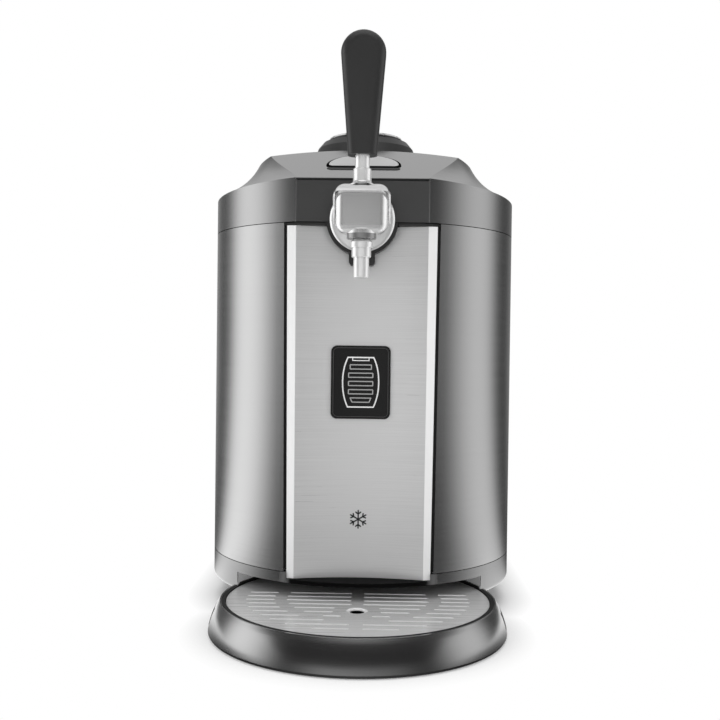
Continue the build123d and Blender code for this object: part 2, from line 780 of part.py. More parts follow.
# ---------------------------------------------------------------- tap
def tap_bezel():
    disc = bar_y(0, tap_z, bezel_r, bezel_front_y, bezel_back_y)
    disc &= block(-bezel_r, bezel_r, -body_r, 0, 0, body_top_z - touch_gap)
    disc += bar_y(0, tap_z, collar_bezel_r, bezel_front_y, bezel_back_y)
    tab = block(-bezel_tab_half, bezel_tab_half, bezel_front_y, bezel_back_y, bezel_tab_z, tap_z)
    tab = fillet(tab.edges().filter_by(Axis.Y).group_by(Axis.Z)[0], 3.0)
    bezel = disc + tab
    behind = dish_band(-touch_gap, body_r, body_r, 0, panel_top_z + touch_gap)
    bezel -= behind
    bezel -= bar_y(0, tap_z, shank_r + touch_gap, -body_r, 0)
    save("tap_bezel", bezel)


def drum_form():
    """The tap's drum: round rims, a flat front face and a level underside."""
    face = Circle(drum_r) & Pos((drum_r - drum_flat) / 2, (drum_r - drum_low) / 2) * Rectangle(
        drum_r + drum_flat, drum_r + drum_low)
    face = fillet(face.vertices(), drum_flat_r)
    drum = Pos(0, tap_y, tap_z) * extrude(Plane.YZ * face, drum_half, both=True)
    return fillet(drum.faces().filter_by(Axis.X).edges(), drum_edge_r)


def drum_space():
    """The room that the lever's hood leaves round the drum as it swings."""
    half = yoke_half - yoke_arm_t
    room = bar_x(tap_y, tap_z, yoke_in_r, -half, half)
    return fillet(room.edges().filter_by(GeomType.CIRCLE), drum_edge_r + 0.5)


def tap_body():
    drum = drum_form()
    flange_front = flange_back_y - flange_t
    neck = bar_y(0, tap_z, neck_r, tap_y, flange_front + 1)
    flange = turned_y([(0, flange_back_y), (flange_r, flange_back_y), (flange_r, flange_back_y - 1.6),
                       (flange_r - 3, flange_front + 0.8), (neck_r + 3, flange_front),
                       (0, flange_front)], 0, tap_z)
    boss = post(0, spout_y, spout_boss_r, spout_boss_z, spout_boss_top_z)
    body = drum + neck + flange + boss
    for side in (-1, 1):
        deep = side * (drum_half - pivot_depth - 1)
        body -= bar_x(tap_y, tap_z, pivot_r + pin_gap, min(deep, side * beyond), max(deep, side * beyond))
    save("tap_body", body)

    spout = turned([(nozzle_bore_r, nozzle_z), (nozzle_r - 0.4, nozzle_z), (nozzle_r, nozzle_z + 0.4),
                    (nozzle_r, ring_z), (ring_r - 0.5, ring_z), (ring_r, ring_z + 0.5),
                    (ring_r, collar_z), (collar_r - 0.6, collar_z), (collar_r, collar_z + 0.6),
                    (collar_r, collar_top_z), (spout_neck_r, spout_boss_z),
                    (nozzle_bore_r, spout_boss_z)], 0, spout_y)
    save("spout", spout)

    shank = bar_y(0, tap_z, shank_r, flange_back_y, shank_back_y)
    shank += bar_y(0, tap_z, line_r - line_wall - touch_gap, shank_back_y, shank_back_y + 9)
    save("tap_shank", shank)
    washer = bar_y(0, tap_z, nut_r - 0.5, bezel_back_y + touch_gap, bezel_back_y + touch_gap + washer_t)
    washer -= bar_y(0, tap_z, shank_r + pin_gap, -body_r, 0)
    save("shank_washer", washer)
    nut_y = bezel_back_y + washer_t + 2 * touch_gap
    hexagon = Plane.XZ * (Pos(0, tap_z) * RegularPolygon(nut_r, 6))
    nut = Pos(0, nut_y + nut_t, 0) * extrude(hexagon, nut_t)
    nut -= bar_y(0, tap_z, shank_r + pin_gap, -body_r, 0)
    save("shank_nut", nut)


def tap_lever():
    half_angle = radians(yoke_span)
    far_x = 2 * yoke_out_r * sin(half_angle)
    far_z = 2 * yoke_out_r * cos(half_angle)
    fan_face = make_face(Polyline((0, 0), (-far_x, far_z), (far_x, far_z), close=True))
    side_face = Circle(yoke_out_r) & (fan_face + Circle(yoke_eye_r))
    front_face = Pos(0, yoke_out_r / 2 - yoke_eye_r / 2) * Rectangle(2 * yoke_half, yoke_out_r + yoke_eye_r)
    front_face = fillet(front_face.vertices().group_by(Axis.Y)[-1], yoke_shoulder_r)
    yoke = extrude(Plane.YZ * side_face, yoke_half, both=True)
    yoke &= extrude(Plane.XZ * front_face, yoke_out_r, both=True)
    yoke = Pos(0, tap_y, tap_z) * yoke
    reach = yoke_in_r * sin(half_angle)
    yoke &= block(-yoke_half, yoke_half, tap_y - reach, tap_y + reach, 0, handle_z)
    ends = yoke.edges().filter_by(lambda e: abs(abs(e.center().Y - tap_y) - reach) < 0.5
                                  and e.center().Z > tap_z + yoke_in_r * cos(half_angle))
    yoke = fillet(ends, 1.2) - drum_space()
    top = tap_z + yoke_out_r
    inside = tap_z + yoke_in_r + 1.2
    flare_top = top + yoke_flare_r - 0.8
    profile = [Line((0, inside), (stem_low_r + yoke_flare_r, inside)),
               Line((stem_low_r + yoke_flare_r, inside), (stem_low_r + yoke_flare_r, top - 0.8)),
               RadiusArc((stem_low_r + yoke_flare_r, top - 0.8), (stem_low_r, flare_top), yoke_flare_r),
               Polyline((stem_low_r, flare_top), (stem_low_r, stem_low_z),
                        (stem_low_r - 0.5, stem_low_z + 0.5), (stem_high_r, stem_low_z + 0.6),
                        (stem_high_r, handle_z + 8), (0, handle_z + 8)),
               Line((0, handle_z + 8), (0, inside))]
    stem = Pos(0, tap_y, 0) * revolve(Plane.XZ * make_face(profile), Axis.Z)
    depth = yoke_out_r * sin(half_angle) - 1
    yoke += stem & block(-yoke_half, yoke_half, tap_y - depth, tap_y + depth, inside, handle_top_z)
    for side in (-1, 1):
        yoke -= bar_x(tap_y, tap_z, pivot_r + pin_gap, side * yoke_half - 4, side * yoke_half + 4)
    save("lever_yoke", yoke)

    crown = Pos(0, handle_top_z - handle_half_high) * Circle(handle_half_high)
    foot = Line((-handle_half_low, handle_z), (handle_half_low, handle_z))
    outline = make_hull(crown.edges() + foot.edges())
    profile = Polyline((-handle_depth_low, handle_z), (handle_depth_low, handle_z),
                       (handle_depth_high, handle_top_z), (-handle_depth_high, handle_top_z),
                       close=True)
    grip = extrude(Plane.XZ * outline, 20, both=True)
    grip &= extrude(Plane.YZ * make_face(profile), 20, both=True)
    sides = grip.edges().filter_by(lambda e: abs(e.center().Y) > 5 and e.center().Z > handle_z + 1)
    grip = Pos(0, tap_y, 0) * fillet(sides, handle_round)
    grip -= post(0, tap_y, stem_high_r + touch_gap, handle_z - 1, handle_z + 8 + touch_gap)
    save("tap_handle", grip)

    pivots = []
    for side in (-1, 1):
        inner = side * (drum_half - pivot_depth)
        outer = side * (yoke_half - 0.2)
        pin = bar_x(tap_y, tap_z, pivot_r, min(inner, outer), max(inner, outer))
        end_ring = pin.edges().filter_by(GeomType.CIRCLE).group_by(Axis.X)[-1 if side > 0 else 0]
        pivots.append(chamfer(end_ring, 0.4))
    save("pivot_screws", *pivots)


def beer_line():
    start_y = shank_back_y + 0.4
    end_z = coupler_z + 9
    path = FilletPolyline((0, start_y, tap_z), (0, keg_y, tap_z), (0, keg_y, end_z),
                          radius=line_bend_r)
    ring = Circle(line_r) - Circle(line_r - line_wall)
    hose = sweep(Plane(origin=(0, start_y, tap_z), z_dir=(0, 1, 0)) * ring, path)
    save("beer_line", hose)
    coupler = turned([(0, coupler_z), (coupler_r, coupler_z), (coupler_r, coupler_z + 5),
                      (coupler_r - 4, coupler_z + 7), (line_r + 2, coupler_z + 8.8),
                      (0, coupler_z + 8.8)], 0, keg_y)
    coupler += post(0, keg_y, line_r - line_wall - touch_gap, coupler_z + 8, coupler_z + 15.5)
    save("keg_coupler", coupler)


# ---------------------------------------------------------------- drip tray
def tray_disc(radius, z0, z1, back):
    """A round slab of the tray, cut straight across at the back."""
    disc = post(0, tray_y, radius, z0, z1)
    return disc & block(-beyond, beyond, -beyond, back, z0 - 1, z1 + 1)


def tray_form(inset, low_z):
    """The tray's flared outside, moved in by a wall thickness."""
    foot = tray_foot_r - inset
    edge = tray_foot_edge
    wall = [Line((0, low_z), (foot - edge, low_z)),
            ThreePointArc((foot - edge, low_z), (foot - 0.3 * edge, low_z + 0.3 * edge),
                          (foot, low_z + edge)),
            ThreePointArc((foot, low_z + edge), (tray_mid_r - inset, tray_mid_z),
                          (tray_top_r - inset, tray_top_z)),
            Line((tray_top_r - inset, tray_top_z), (0, tray_top_z)),
            Line((0, tray_top_z), (0, low_z))]
    form = Pos(0, tray_y) * revolve(Plane.XZ * make_face(wall), Axis.Z)
    return form & block(-beyond, beyond, -beyond, tray_back_y - inset, 0, body_top_z)


def drip_tray():
    low = tray_ground_gap
    shell = tray_form(0, low) - tray_form(tray_wall, low + tray_floor_t)
    shell -= tray_disc(bowl_rim_r + touch_gap, tray_top_z - 3, tray_top_z + 1,
                       tray_back_y - tray_wall)
    cabinet_side = post(0, 0, body_r + tray_body_gap, base_bottom_z - tray_side_gap, base_top_z)
    inside = opening_half - tray_side_gap
    cabinet_side -= block(-inside, inside, -beyond, 0, 0, base_top_z)
    shell -= cabinet_side
    for side in (-1, 1):
        shell -= grip_block(side, 0)
    save("tray_shell", shell)
    save("tray_grips", *[grip_block(side, touch_gap) for side in (-1, 1)])

    back = tray_back_y - tray_wall - bowl_back_gap
    low_r = bowl_r - bowl_step
    bowl = tray_disc(low_r, bowl_floor_z, tray_top_z - bowl_rim_t, back)
    bowl += tray_disc(bowl_rim_r, tray_top_z - bowl_rim_t, tray_top_z, tray_back_y - tray_wall - touch_gap)
    bowl -= tray_disc(low_r - bowl_t, bowl_floor_z + bowl_t, tray_top_z + 1, back - bowl_t)
    bowl -= tray_disc(bowl_r, grille_z - touch_gap, tray_top_z + 1, grille_back_y + grille_gap)
    shelf = tray_disc(low_r - touch_gap, grille_z - touch_gap - shelf_t, grille_z - touch_gap,
                      grille_back_y)
    shelf -= tray_disc(bowl_r - grille_ledge, 0, base_top_z, back - grille_ledge)
    bowl += shelf
    bowl -= cabinet_side
    save("drip_bowl", bowl)

    plate = tray_disc(grille_r, grille_z, grille_z + grille_t, grille_back_y)
    plate &= block(-opening_half + 1.5, opening_half - 1.5, -beyond, 0, 0, body_top_z) + block(
        -beyond, beyond, -beyond, -sqrt((body_r + 2) ** 2 - (opening_half - 2) ** 2), 0, body_top_z)
    boss = turned([(drain_r, grille_z), (drain_boss_r, grille_z), (drain_boss_r, grille_z + grille_t),
                   (drain_r, grille_z + grille_t - 0.6)], 0, drain_y)
    plate -= post(0, drain_y, drain_boss_r, 0, base_top_z)
    plate += boss
    for face in slot_faces():
        plate -= prism(face, grille_z - 1, grille_z + grille_t + 1)
    save("drip_grille", plate)


def slot_faces():
    """Round-ended slots in rows, left out over a ring, the middle bar and round the drain."""
    faces = []
    end = slot_w / 2
    for row in range(slot_rows):
        y = slot_first_y - row * slot_pitch
        from_centre = abs(y - tray_y)
        outer = sqrt(slot_field_r ** 2 - from_centre ** 2)
        gaps = []
        if from_centre < blank_ring_out:
            ring_out = sqrt(blank_ring_out ** 2 - from_centre ** 2)
            ring_in = sqrt(max(blank_ring_in ** 2 - from_centre ** 2, 0.0))
            gaps.append((ring_in, ring_out))
        from_drain = abs(y - drain_y)
        inner = blank_bar_half
        if from_drain < drain_blank_r:
            inner = sqrt(drain_blank_r ** 2 - from_drain ** 2)
        spans = [(inner, outer)]
        for low, high in gaps:
            spans = [(inner, low), (high, outer)]
        for low, high in spans:
            if high - low > 3 * slot_w:
                for side in (-1, 1):
                    middle = side * (low + high) / 2
                    faces.append(Pos(middle, y) * SlotOverall(high - low, 2 * end))
    return faces


def grip_block(side, gap):
    """A black finger grip let into the tray's wall, smaller than its recess by the gap."""
    band = tray_form(-grip_proud, tray_ground_gap) - tray_form(grip_depth - gap, tray_ground_gap)
    near = side * tray_foot_r / 2
    far = side * beyond
    return band & block(min(near, far), max(near, far), tray_y - grip_half + gap,
                        tray_y + grip_half - gap, grip_low_z + gap, grip_high_z - gap)


# ---------------------------------------------------------------- base pan, feet
def base_pan():
    shelf_low = opening_top_z + ledge_t + touch_gap
    shelf_top = shelf_low + pan_t
    shelf = prism(cabinet_plan(base_wall + touch_gap), shelf_low, shelf_top)
    shelf -= block(-body_r, body_r, -body_r, panel_y + 12, 0, base_top_z)
    tub_plan = Pos(0, (tub_front_y + tub_back_y) / 2) * RectangleRounded(
        2 * tub_half, tub_back_y - tub_front_y, tub_corner_r)
    tub = prism(tub_plan, tub_floor_z, shelf_top)
    inner_plan = Pos(0, (tub_front_y + tub_back_y) / 2) * RectangleRounded(
        2 * (tub_half - pan_t), tub_back_y - tub_front_y - 2 * pan_t, tub_corner_r - pan_t)
    pan = shelf + tub - prism(inner_plan, tub_floor_z + pan_t, shelf_top + 1)
    for x, y in foot_places():
        pan -= post(x, y, foot_pin_r + touch_gap, tub_floor_z - 1, tub_floor_z + pan_t + 1)
    save("base_pan", pan)
    feet = []
    for x, y in foot_places():
        foot = turned([(0, 0), (foot_r - 1, 0), (foot_r, 1), (foot_r - 1.5, tub_floor_z - touch_gap),
                       (foot_pin_r, tub_floor_z - touch_gap),
                       (foot_pin_r, tub_floor_z + pan_t), (0, tub_floor_z + pan_t)], x, y)
        feet.append(foot)
    save("rubber_feet", *feet)


def foot_places():
    return [(side * foot_x, y) for side in (-1, 1) for y in (foot_front_y, foot_back_y)]


# ---------------------------------------------------------------- cooling unit
def compressor():
    floor_z = tub_floor_z + pan_t
    plate_z = compressor_low_z - mount_t - touch_gap
    body = Pos(compressor_x, compressor_y, compressor_low_z + compressor_h / 2) * Cylinder(
        compressor_r, compressor_h)
    body = fillet(body.edges().group_by(Axis.Z)[0] + body.edges().group_by(Axis.Z)[-1], 16)
    body += Pos(compressor_x, compressor_y, compressor_low_z + compressor_h * 0.52) * Cylinder(
        compressor_r + 3, 3)
    body += block(compressor_x - compressor_r - 8, compressor_x - compressor_r + 6, compressor_y - 12,
                  compressor_y + 12, compressor_low_z + 22, compressor_low_z + 46)
    save("compressor", body)
    plate = block(compressor_x - mount_half, compressor_x + mount_half, compressor_y - mount_half + 4,
                  compressor_y + mount_half - 4, plate_z, plate_z + mount_t)
    corners = [(compressor_x + sx * (mount_half - 8), compressor_y + sy * (mount_half - 12))
               for sx in (-1, 1) for sy in (-1, 1)]
    for x, y in corners:
        plate -= post(x, y, grommet_neck_r + touch_gap, 0, compressor_low_z)
    save("compressor_plate", plate)
    grommets = [turned([(0, floor_z + touch_gap), (grommet_r, floor_z + touch_gap),
                        (grommet_r, plate_z - touch_gap), (grommet_neck_r, plate_z - touch_gap),
                        (grommet_neck_r, plate_z + mount_t + touch_gap),
                        (grommet_r - 1, plate_z + mount_t + touch_gap),
                        (grommet_r - 1, plate_z + mount_t + 2), (0, plate_z + mount_t + 2)], x, y)
                for x, y in corners]
    save("compressor_grommets", *grommets)


def condenser():
    low = condenser_low_z
    fins = []
    count = int((condenser_w - 4) / fin_pitch)
    first = condenser_x - fin_pitch * (count - 1) / 2
    pack = None
    for index in range(count):
        x = first + index * fin_pitch
        fin = block(x - fin_t / 2, x + fin_t / 2, condenser_y - condenser_d / 2,
                    condenser_y + condenser_d / 2, low, low + condenser_h)
        pack = fin if pack is None else pack + fin
    for row in range(tube_rows):
        z = low + condenser_h * (row + 0.5) / tube_rows
        pack += bar_x(condenser_y, z, tube_r, condenser_x - condenser_w / 2, condenser_x + condenser_w / 2)
    for side in (-1, 1):
        x = condenser_x + side * (condenser_w / 2 - 1)
        pack += block(x - 1, x + 1, condenser_y - condenser_d / 2, condenser_y + condenser_d / 2,
                      tub_floor_z + pan_t + touch_gap, low + condenser_h)
    for side in (-1, 1):
        x = condenser_x + side * stub_x
        pack += post(x, condenser_y, line_pipe_r, low + condenser_h * 0.8, low + condenser_h + 2)
    save("condenser", pack)


def fan():
    frame_y0 = fan_y - fan_frame_t / 2
    frame_y1 = fan_y + fan_frame_t / 2
    frame = block(condenser_x - fan_frame_half, condenser_x + fan_frame_half, frame_y0, frame_y1,
                  fan_z - fan_frame_half, fan_z + fan_frame_half)
    frame -= bar_y(condenser_x, fan_z, fan_r + 1.5, frame_y0 - 1, frame_y1 + 1)
    for turn in (45, 135):
        spoke = Pos(condenser_x, frame_y0 + 1.5, fan_z) * Rot(0, turn, 0) * Box(
            2 * fan_frame_half + 6, 3, 5)
        frame += spoke
    frame &= block(condenser_x - fan_frame_half, condenser_x + fan_frame_half, frame_y0, frame_y1,
                   fan_z - fan_frame_half, fan_z + fan_frame_half)
    frame += bar_y(condenser_x, fan_z, fan_hub_r - 2, frame_y0, frame_y0 + 3)
    for side in (-1, 1):
        x = condenser_x + side * (fan_frame_half - 12)
        frame += block(x - 4, x + 4, frame_y0, frame_y1, tub_floor_z + pan_t + touch_gap,
                       fan_z - fan_frame_half)
    frame -= bar_y(condenser_x, fan_z, fan_shaft_r + pin_gap, frame_y0 - 1, frame_y0 + 4)
    save("fan_frame", frame)

    hub_y0 = frame_y0 + 3 + run_gap
    rotor = bar_y(condenser_x, fan_z, fan_hub_r, hub_y0, frame_y1 - 1.5)
    rotor += bar_y(condenser_x, fan_z, fan_shaft_r, frame_y0 + 0.3, hub_y0 + 1)
    depth = frame_y1 - 2.5 - hub_y0
    for index in range(fan_blades):
        blade = Pos((fan_hub_r + fan_r) / 2 - 1, 0, 0) * Rot(35, 0, 0) * Box(
            fan_r - fan_hub_r + 2, blade_t, depth / cos(radians(35)) * 0.95)
        blade = Rot(90, 0, 0) * blade
        blade = Rot(0, index * 360 / fan_blades, 0) * blade
        rotor += Pos(condenser_x, (hub_y0 + frame_y1 - 2) / 2, fan_z) * blade
    limit = bar_y(condenser_x, fan_z, fan_r, frame_y0, frame_y1 - 1)
    save("fan_rotor", rotor & limit)


def pipe(points, radius):
    """A round pipe along straight runs with rounded bends."""
    path = FilletPolyline(*points, radius=pipe_bend_r)
    ahead = Vector(*points[1]) - Vector(*points[0])
    return sweep(Plane(origin=points[0], z_dir=ahead) * Circle(radius), path)


def pipes():
    top = compressor_low_z + compressor_h + touch_gap
    stub_top = condenser_low_z + condenser_h + 2 + touch_gap
    over = stub_top + 20
    foam_y = insulation_back_y + touch_gap
    save("discharge_pipe", pipe([(compressor_x + 12, compressor_y, top), (compressor_x + 12, compressor_y, over),
                                 (condenser_x - stub_x, compressor_y, over),
                                 (condenser_x - stub_x, compressor_y, stub_top)], line_pipe_r))
    save("suction_pipe", pipe([(compressor_x - 12, compressor_y, top),
                               (compressor_x - 12, compressor_y, top + 70),
                               (compressor_x - 12, foam_y, top + 70)], line_pipe_r))
    drier = turned([(0, 0), (line_pipe_r, 0), (line_pipe_r, 24), (drier_r, 30),
                    (drier_r, drier_len - 14), (capillary_r, drier_len - 6), (capillary_r, drier_len),
                    (0, drier_len)])
    save("filter_drier", Pos(condenser_x + stub_x, compressor_y, stub_top) * drier)
    drier_top = stub_top + drier_len + touch_gap
    save("capillary_tube", pipe([(condenser_x + stub_x, compressor_y, drier_top),
                                 (condenser_x + stub_x, compressor_y, drier_top + 18),
                                 (condenser_x + stub_x, foam_y, drier_top + 18)], capillary_r))


def screw_places():
    return [(side * screw_x, z) for side in (-1, 1) for z in screw_rows]


# ---------------------------------------------------------------- rear cover and electrics
def rear_cover():
    y0 = rear_y - cover_t
    cover = block(-rear_opening_half + seam_gap, rear_opening_half - seam_gap, y0, rear_y,
                  cover_low_z, cover_high_z)
    lip = block(-rear_opening_half - 8, rear_opening_half + 8, y0 - 1.6, y0, cover_low_z, cover_high_z)
    cover += lip
    hollow = block(-rear_opening_half + 8, rear_opening_half - 8, y0 - 2, y0, cover_low_z + 8,
                   cover_high_z - 8)
    cover -= hollow
    for row in range(louvre_rows):
        z = louvre_low_z + row * louvre_pitch
        cover -= block(condenser_x - louvre_w / 2, condenser_x + louvre_w / 2, 0, rear_y + 1,
                       z, z + louvre_h)
    for row in range(vent_rows):
        z = vent_low_z + row * louvre_pitch
        cover -= block(-louvre_w / 2, louvre_w / 2, 0, rear_y + 1, z, z + louvre_h)
    cover -= block(inlet_x - inlet_w / 2, inlet_x + inlet_w / 2, 0, rear_y + 1,
                   inlet_z - inlet_h / 2, inlet_z + inlet_h / 2)
    cover -= block(inlet_x - switch_w / 2, inlet_x + switch_w / 2, 0, rear_y + 1,
                   switch_z - switch_h / 2, switch_z + switch_h / 2)
    for x, z in screw_places():
        cover -= bar_y(x, z, screw_r + touch_gap, 0, rear_y + 1)
    save("rear_cover", cover)
    screws = []
    for x, z in screw_places():
        screw = bar_y(x, z, screw_r, rear_y - cover_t - 6, rear_y + touch_gap)
        screw += bar_y(x, z, screw_head_r, rear_y + touch_gap, rear_y + touch_gap + screw_head_t)
        screws.append(screw)
    save("cover_screws", *screws)

    def frame(width, height, z, depth):
        outer = block(inlet_x - width / 2 + touch_gap, inlet_x + width / 2 - touch_gap,
                      rear_y - depth, rear_y + touch_gap, z - height / 2 + touch_gap,
                      z + height / 2 - touch_gap)
        outer += block(inlet_x - width / 2 - inlet_flange, inlet_x + width / 2 + inlet_flange,
                       rear_y + touch_gap, rear_y + 2.2, z - height / 2 - inlet_flange,
                       z + height / 2 + inlet_flange)
        return outer

    socket = frame(inlet_w, inlet_h, inlet_z, inlet_depth)
    socket -= block(inlet_x - inlet_w / 2 + 2, inlet_x + inlet_w / 2 - 2, rear_y - inlet_depth + 3,
                    rear_y + 5, inlet_z - inlet_h / 2 + 2, inlet_z + inlet_h / 2 - 2)
    save("mains_inlet", socket)
    blades = [block(inlet_x + dx - 2, inlet_x + dx + 2, rear_y - inlet_depth + 3 - 2, rear_y - 6,
                    inlet_z + dz - 1, inlet_z + dz + 1) for dx, dz in ((-7, -2), (7, -2), (0, 4))]
    save("inlet_blades", *[blade & block(-200, 200, rear_y - inlet_depth + 3, rear_y, 0, 200)
                           for blade in blades])

    housing = frame(switch_w, switch_h, switch_z, switch_depth)
    housing -= block(inlet_x - switch_w / 2 + 1.8, inlet_x + switch_w / 2 - 1.8, rear_y - switch_depth + 3,
                     rear_y + 5, switch_z - switch_h / 2 + 1.8, switch_z + switch_h / 2 - 1.8)
    pivot_y = rear_y - 4
    housing -= bar_x(pivot_y, switch_z, 1.2 + pin_gap, inlet_x - switch_w, inlet_x + switch_w) & block(
        inlet_x - switch_w / 2 + 0.9, inlet_x + switch_w / 2 - 0.9, 0, rear_y, 0, 200)
    save("switch_housing", housing)
    half = switch_h / 2 - rocker_side_gap
    profile = make_face(Polyline((-half, -2.0), (-half, 6.0), (0, 4.8), (half, 6.0), (half, -2.0),
                                 close=True))
    rocker = extrude(Plane.YZ * profile, (switch_w - 4.6) / 2, both=True)
    rocker += bar_x(0, 0, 1.2, -switch_w / 2 + 1.2, switch_w / 2 - 1.2)
    rocker = Pos(inlet_x, pivot_y, switch_z) * Rot(-90 - rocker_swing, 0, 0) * rocker
    save("switch_rocker", rocker)


def control_board():
    board = block(-60, 10, -30, 60, tub_floor_z + pan_t + 4, tub_floor_z + pan_t + 5.6)
    board += block(-52, -24, -20, 10, tub_floor_z + pan_t + 5.6, tub_floor_z + pan_t + 24)
    board += block(-14, 2, 20, 50, tub_floor_z + pan_t + 5.6, tub_floor_z + pan_t + 16)
    for x in (-56, 6):
        for y in (-26, 56):
            board += post(x, y, 2.5, tub_floor_z + pan_t + touch_gap, tub_floor_z + pan_t + 4)
    save("control_board", board)


os.makedirs("parts", exist_ok=True)
side_shells()
base_ring()
front_panel()
front_frame()
gauge_window()
keg_well()
top_deck()
lid()
lid_liner()
body_hinges()
lid_button()
dial()
tap_bezel()
tap_body()
tap_lever()
beer_line()
drip_tray()
base_pan()
compressor()
condenser()
fan()
pipes()
rear_cover()
control_board()
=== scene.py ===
import json
from math import cos, pi, radians, sin

import bpy
from mathutils import Matrix, Vector


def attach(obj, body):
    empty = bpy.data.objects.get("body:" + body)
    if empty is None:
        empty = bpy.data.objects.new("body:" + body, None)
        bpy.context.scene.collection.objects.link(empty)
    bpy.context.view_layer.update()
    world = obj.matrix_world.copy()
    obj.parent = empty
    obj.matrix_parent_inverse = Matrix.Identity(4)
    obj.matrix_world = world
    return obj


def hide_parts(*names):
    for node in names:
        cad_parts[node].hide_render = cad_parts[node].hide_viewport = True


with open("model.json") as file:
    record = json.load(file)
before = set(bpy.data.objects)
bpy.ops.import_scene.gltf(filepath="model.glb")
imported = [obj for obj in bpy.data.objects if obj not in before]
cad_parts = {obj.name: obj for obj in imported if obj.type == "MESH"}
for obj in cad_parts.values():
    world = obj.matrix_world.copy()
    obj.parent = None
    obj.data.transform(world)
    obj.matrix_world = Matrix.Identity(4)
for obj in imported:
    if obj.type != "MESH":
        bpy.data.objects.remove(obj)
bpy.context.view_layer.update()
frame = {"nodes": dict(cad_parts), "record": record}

# Mini keg beer dispenser, dressed for display. Metres, +X right, +Y back, +Z up.

hair = 0.00001        # two places nearer than this are the same


# ------------------------------------------------------------------ small helpers
def pick(*objects):
    """Only these objects selected, the first one active."""
    bpy.ops.object.select_all(action='DESELECT')
    for one in objects:
        one.select_set(True)
    bpy.context.view_layer.objects.active = objects[0]


def in_edit(kind='FACE'):
    bpy.ops.object.mode_set(mode='EDIT')
    bpy.ops.mesh.select_mode(type=kind)


def out_of_edit():
    bpy.ops.object.mode_set(mode='OBJECT')


def everywhere(place, along):
    """The test that every face, edge and vertex passes."""
    return True


def select_where(piece, test, kind='FACE'):
    """In edit mode, selects only the faces, edges or vertices whose middle passes the test."""
    in_edit(kind)
    bpy.ops.mesh.select_all(action='DESELECT')
    out_of_edit()
    mesh = piece.data
    if kind == 'FACE':
        for face in mesh.polygons:
            face.select = bool(test(face.center, face.normal))
    elif kind == 'EDGE':
        for edge in mesh.edges:
            a, b = (mesh.vertices[i].co for i in edge.vertices)
            edge.select = bool(test((a + b) / 2, b - a))
    else:
        for vertex in mesh.vertices:
            vertex.select = bool(test(vertex.co, vertex.normal))
    in_edit(kind)


def finish_modifier(piece, kind, **values):
    pick(piece)
    bpy.ops.object.modifier_add(type=kind)
    modifier = piece.modifiers[-1]
    for key, value in values.items():
        setattr(modifier, key, value)
    bpy.ops.object.modifier_apply(modifier=modifier.name)


def settle(piece):
    """The piece's place goes into its mesh."""
    pick(piece)
    bpy.ops.object.transform_apply(location=True, rotation=True, scale=True)


def smooth(piece, degrees):
    pick(piece)
    bpy.ops.object.shade_smooth_by_angle(angle=radians(degrees))


def coat(piece, material):
    piece.data.materials.clear()
    piece.data.materials.append(material)


# ------------------------------------------------------------------ camera
camera_eye = (0.01375, -0.8974, 0.2341)
camera_yaw, camera_pitch, camera_roll = -0.0182, -0.0159, 0.0123
camera_sensor, camera_lens = 36, 48.19        # millimetres


def place_camera():
    yaw, pitch, roll = camera_yaw, camera_pitch, camera_roll
    ahead = Vector((sin(yaw) * cos(pitch), cos(yaw) * cos(pitch), sin(pitch)))
    level = ahead.cross(Vector((0, 0, 1))).normalized()
    above = level.cross(ahead)
    right = cos(roll) * level + sin(roll) * above
    up = cos(roll) * above - sin(roll) * level
    data = bpy.data.cameras.new("display_camera")
    data.sensor_width = camera_sensor
    data.lens = camera_lens
    data.clip_start = 0.02
    data.clip_end = 30
    camera = bpy.data.objects.new("display_camera", data)
    bpy.context.collection.objects.link(camera)
    turn = Matrix((right, up, -ahead)).transposed().to_4x4()
    camera.matrix_world = Matrix.Translation(Vector(camera_eye)) @ turn
    bpy.context.scene.camera = camera


place_camera()
bpy.context.scene.view_settings.view_transform = 'Standard'


# ------------------------------------------------------------------ shader nodes
noise_low, noise_high = 0.25, 0.75        # most of a noise lies between these


def node_in(tree, kind, **values):
    node = tree.nodes.new(kind)
    for key, value in values.items():
        setattr(node, key, value)
    return node


def feed(tree, sockets, values):
    """Each socket gets its value: a number is set on it, another node's socket is linked to it."""
    for socket, value in zip(sockets, values):
        if isinstance(value, (int, float)):
            socket.default_value = value
        else:
            tree.links.new(value, socket)


def math_of(tree, operation, *values):
    node = node_in(tree, "ShaderNodeMath", operation=operation)
    feed(tree, node.inputs, values)
    return node.outputs[0]


def blend_of(tree, share, first, second):
    node = node_in(tree, "ShaderNodeMix", data_type='FLOAT')
    feed(tree, (node.inputs[0], node.inputs[2], node.inputs[3]), (share, first, second))
    return node.outputs[0]


def between(tree, value, low, high, start=noise_low, end=noise_high):
    """The value from start to end becomes low to high, and no further."""
    node = node_in(tree, "ShaderNodeMapRange")
    node.inputs["From Min"].default_value = start
    node.inputs["From Max"].default_value = end
    node.inputs["To Min"].default_value = low
    node.inputs["To Max"].default_value = high
    tree.links.new(value, node.inputs["Value"])
    return node.outputs[0]


def below(tree, value, start, end):
    """1 under the start, 0 over the end."""
    return between(tree, value, 1.0, 0.0, start, end)


def above(tree, value, start, end):
    """0 under the start, 1 over the end."""
    return between(tree, value, 0.0, 1.0, start, end)


def ramp_of(tree, value, stops):
    """A smooth grey ramp: stops are (place, grey) pairs."""
    ramp = node_in(tree, "ShaderNodeValToRGB")
    band = ramp.color_ramp
    band.interpolation = 'B_SPLINE'
    band.elements[0].position, band.elements[1].position = stops[0][0], stops[-1][0]
    for place, level in stops[1:-1]:
        band.elements.new(place)
    for element, (place, level) in zip(band.elements, stops):
        element.position = place
        element.color = (level, level, level, 1)
    tree.links.new(value, ramp.inputs[0])
    return ramp.outputs[0]


